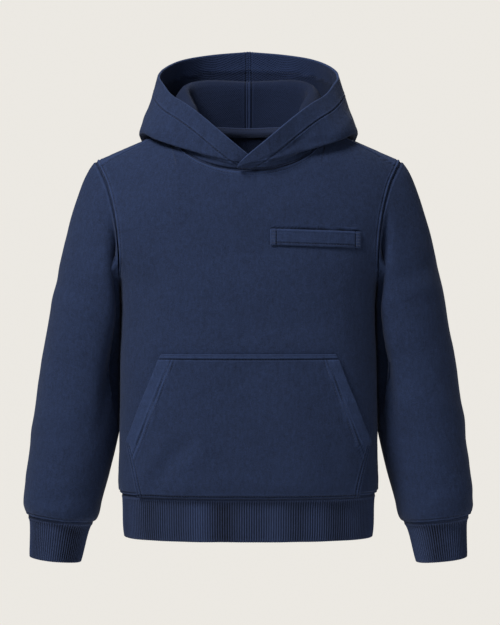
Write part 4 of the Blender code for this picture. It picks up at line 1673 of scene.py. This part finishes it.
def add_studio():
    floor_y = FLOOR_END_Y - FLOOR_SIZE[1] / 2
    add_sheet_of_paper("floor", FLOOR_SIZE, (0, floor_y, FLOOR_Z), False, 0.0)
    add_sheet_of_paper("backdrop", BACKDROP_SIZE, (0, BACKDROP_Y, EYE[2]), True, 1.0)
    for name, place, target, size, power in LAMPS:
        bpy.ops.object.light_add(type="AREA", location=place)
        lamp = bpy.context.object
        lamp.name = name
        lamp.data.shape = "DISK"
        lamp.data.size = size
        lamp.data.energy = power
        lamp.data.color = (1.0, 0.985, 0.96)
        aim(lamp, target)
    world = bpy.context.scene.world or bpy.data.worlds.new("World")
    bpy.context.scene.world = world
    world.use_nodes = True
    sky = world.node_tree.nodes["Background"]
    sky.inputs["Color"].default_value = (0.95, 0.97, 1.0, 1.0)
    sky.inputs["Strength"].default_value = 0.16
    bpy.context.scene.view_settings.view_transform = "Standard"
    bpy.ops.object.camera_add(location=EYE, rotation=(math.pi / 2, 0, 0))
    camera = bpy.context.object
    camera.name = "portrait"
    camera.data.lens = LENS
    camera.data.sensor_width = 36
    bpy.context.scene.camera = camera


# ---------------------------------------------------------------- the add-on


class HoodieOperator(bpy.types.Operator):
    """Makes one kind of piece."""

    bl_idname = "hoodie.piece"
    bl_label = "Piece"
    bl_options = {"REGISTER", "UNDO"}

    def make(self):
        raise NotImplementedError

    def execute(self, context):
        self.make()
        return {"FINISHED"}


class AddPanels(HoodieOperator):
    """Makes the front and back panels"""

    bl_idname = "hoodie.panels"
    bl_label = "Body panels"

    def make(self):
        add_panel("front")
        add_panel("back")


class AddPocket(HoodieOperator):
    """Makes the pouch pocket and the chest welt"""

    bl_idname = "hoodie.pockets"
    bl_label = "Pouch and welt"

    def make(self):
        add_pouch()
        add_welt()


class AddWaistband(HoodieOperator):
    """Makes the ribbed waistband"""

    bl_idname = "hoodie.waistband"
    bl_label = "Waistband"

    def make(self):
        add_waistband()


class AddSleeves(HoodieOperator):
    """Makes the two sleeves"""

    bl_idname = "hoodie.sleeves"
    bl_label = "Sleeves"

    def make(self):
        add_sleeves()


class AddCuffs(HoodieOperator):
    """Makes the two ribbed cuffs"""

    bl_idname = "hoodie.cuffs"
    bl_label = "Cuffs"

    def make(self):
        add_cuffs()


class AddHood(HoodieOperator):
    """Makes the hood's two halves"""

    bl_idname = "hoodie.hood"
    bl_label = "Hood"

    def make(self):
        add_hood_half("left")
        add_hood_half("right")


class AddTape(HoodieOperator):
    """Makes the tape inside the neck"""

    bl_idname = "hoodie.tape"
    bl_label = "Neck tape"

    def make(self):
        add_tape()


class AddStudio(HoodieOperator):
    """Makes the floor, the backdrop, the lamps and the camera"""

    bl_idname = "hoodie.studio"
    bl_label = "Studio"

    def make(self):
        add_studio()


OPERATORS = (
    AddPanels, AddPocket, AddWaistband, AddSleeves, AddCuffs, AddHood, AddTape, AddStudio,
)


class HoodiePanel(bpy.types.Panel):
    """The hoodie's sizes, colours and pieces"""

    bl_idname = "VIEW3D_PT_hoodie"
    bl_label = "Hoodie"
    bl_space_type = "VIEW_3D"
    bl_region_type = "UI"
    bl_category = "Hoodie"

    def draw(self, context):
        layout = self.layout
        for group in (context.scene.hoodie_sizes, context.scene.hoodie_colours):
            for name in group.__annotations__:
                layout.prop(group, name)
        for operator in OPERATORS:
            layout.operator(operator.bl_idname)


CLASSES = (HoodieSizes, HoodieColours, *OPERATORS, HoodiePanel)


def register():
    for cls in CLASSES:
        bpy.utils.register_class(cls)
    bpy.types.Scene.hoodie_sizes = PointerProperty(type=HoodieSizes)
    bpy.types.Scene.hoodie_colours = PointerProperty(type=HoodieColours)


def unregister():
    del bpy.types.Scene.hoodie_colours
    del bpy.types.Scene.hoodie_sizes
    for cls in reversed(CLASSES):
        bpy.utils.unregister_class(cls)


def plain(box):
    return [list(corner) for corner in box]


def main():
    register()
    for operator in OPERATORS:
        group, name = operator.bl_idname.split(".")
        result = getattr(getattr(bpy.ops, group), name)()
        if result != {"FINISHED"}:
            raise RuntimeError(f"{operator.bl_label} was not finished: {result}")


if __name__ == "__main__":
    main()
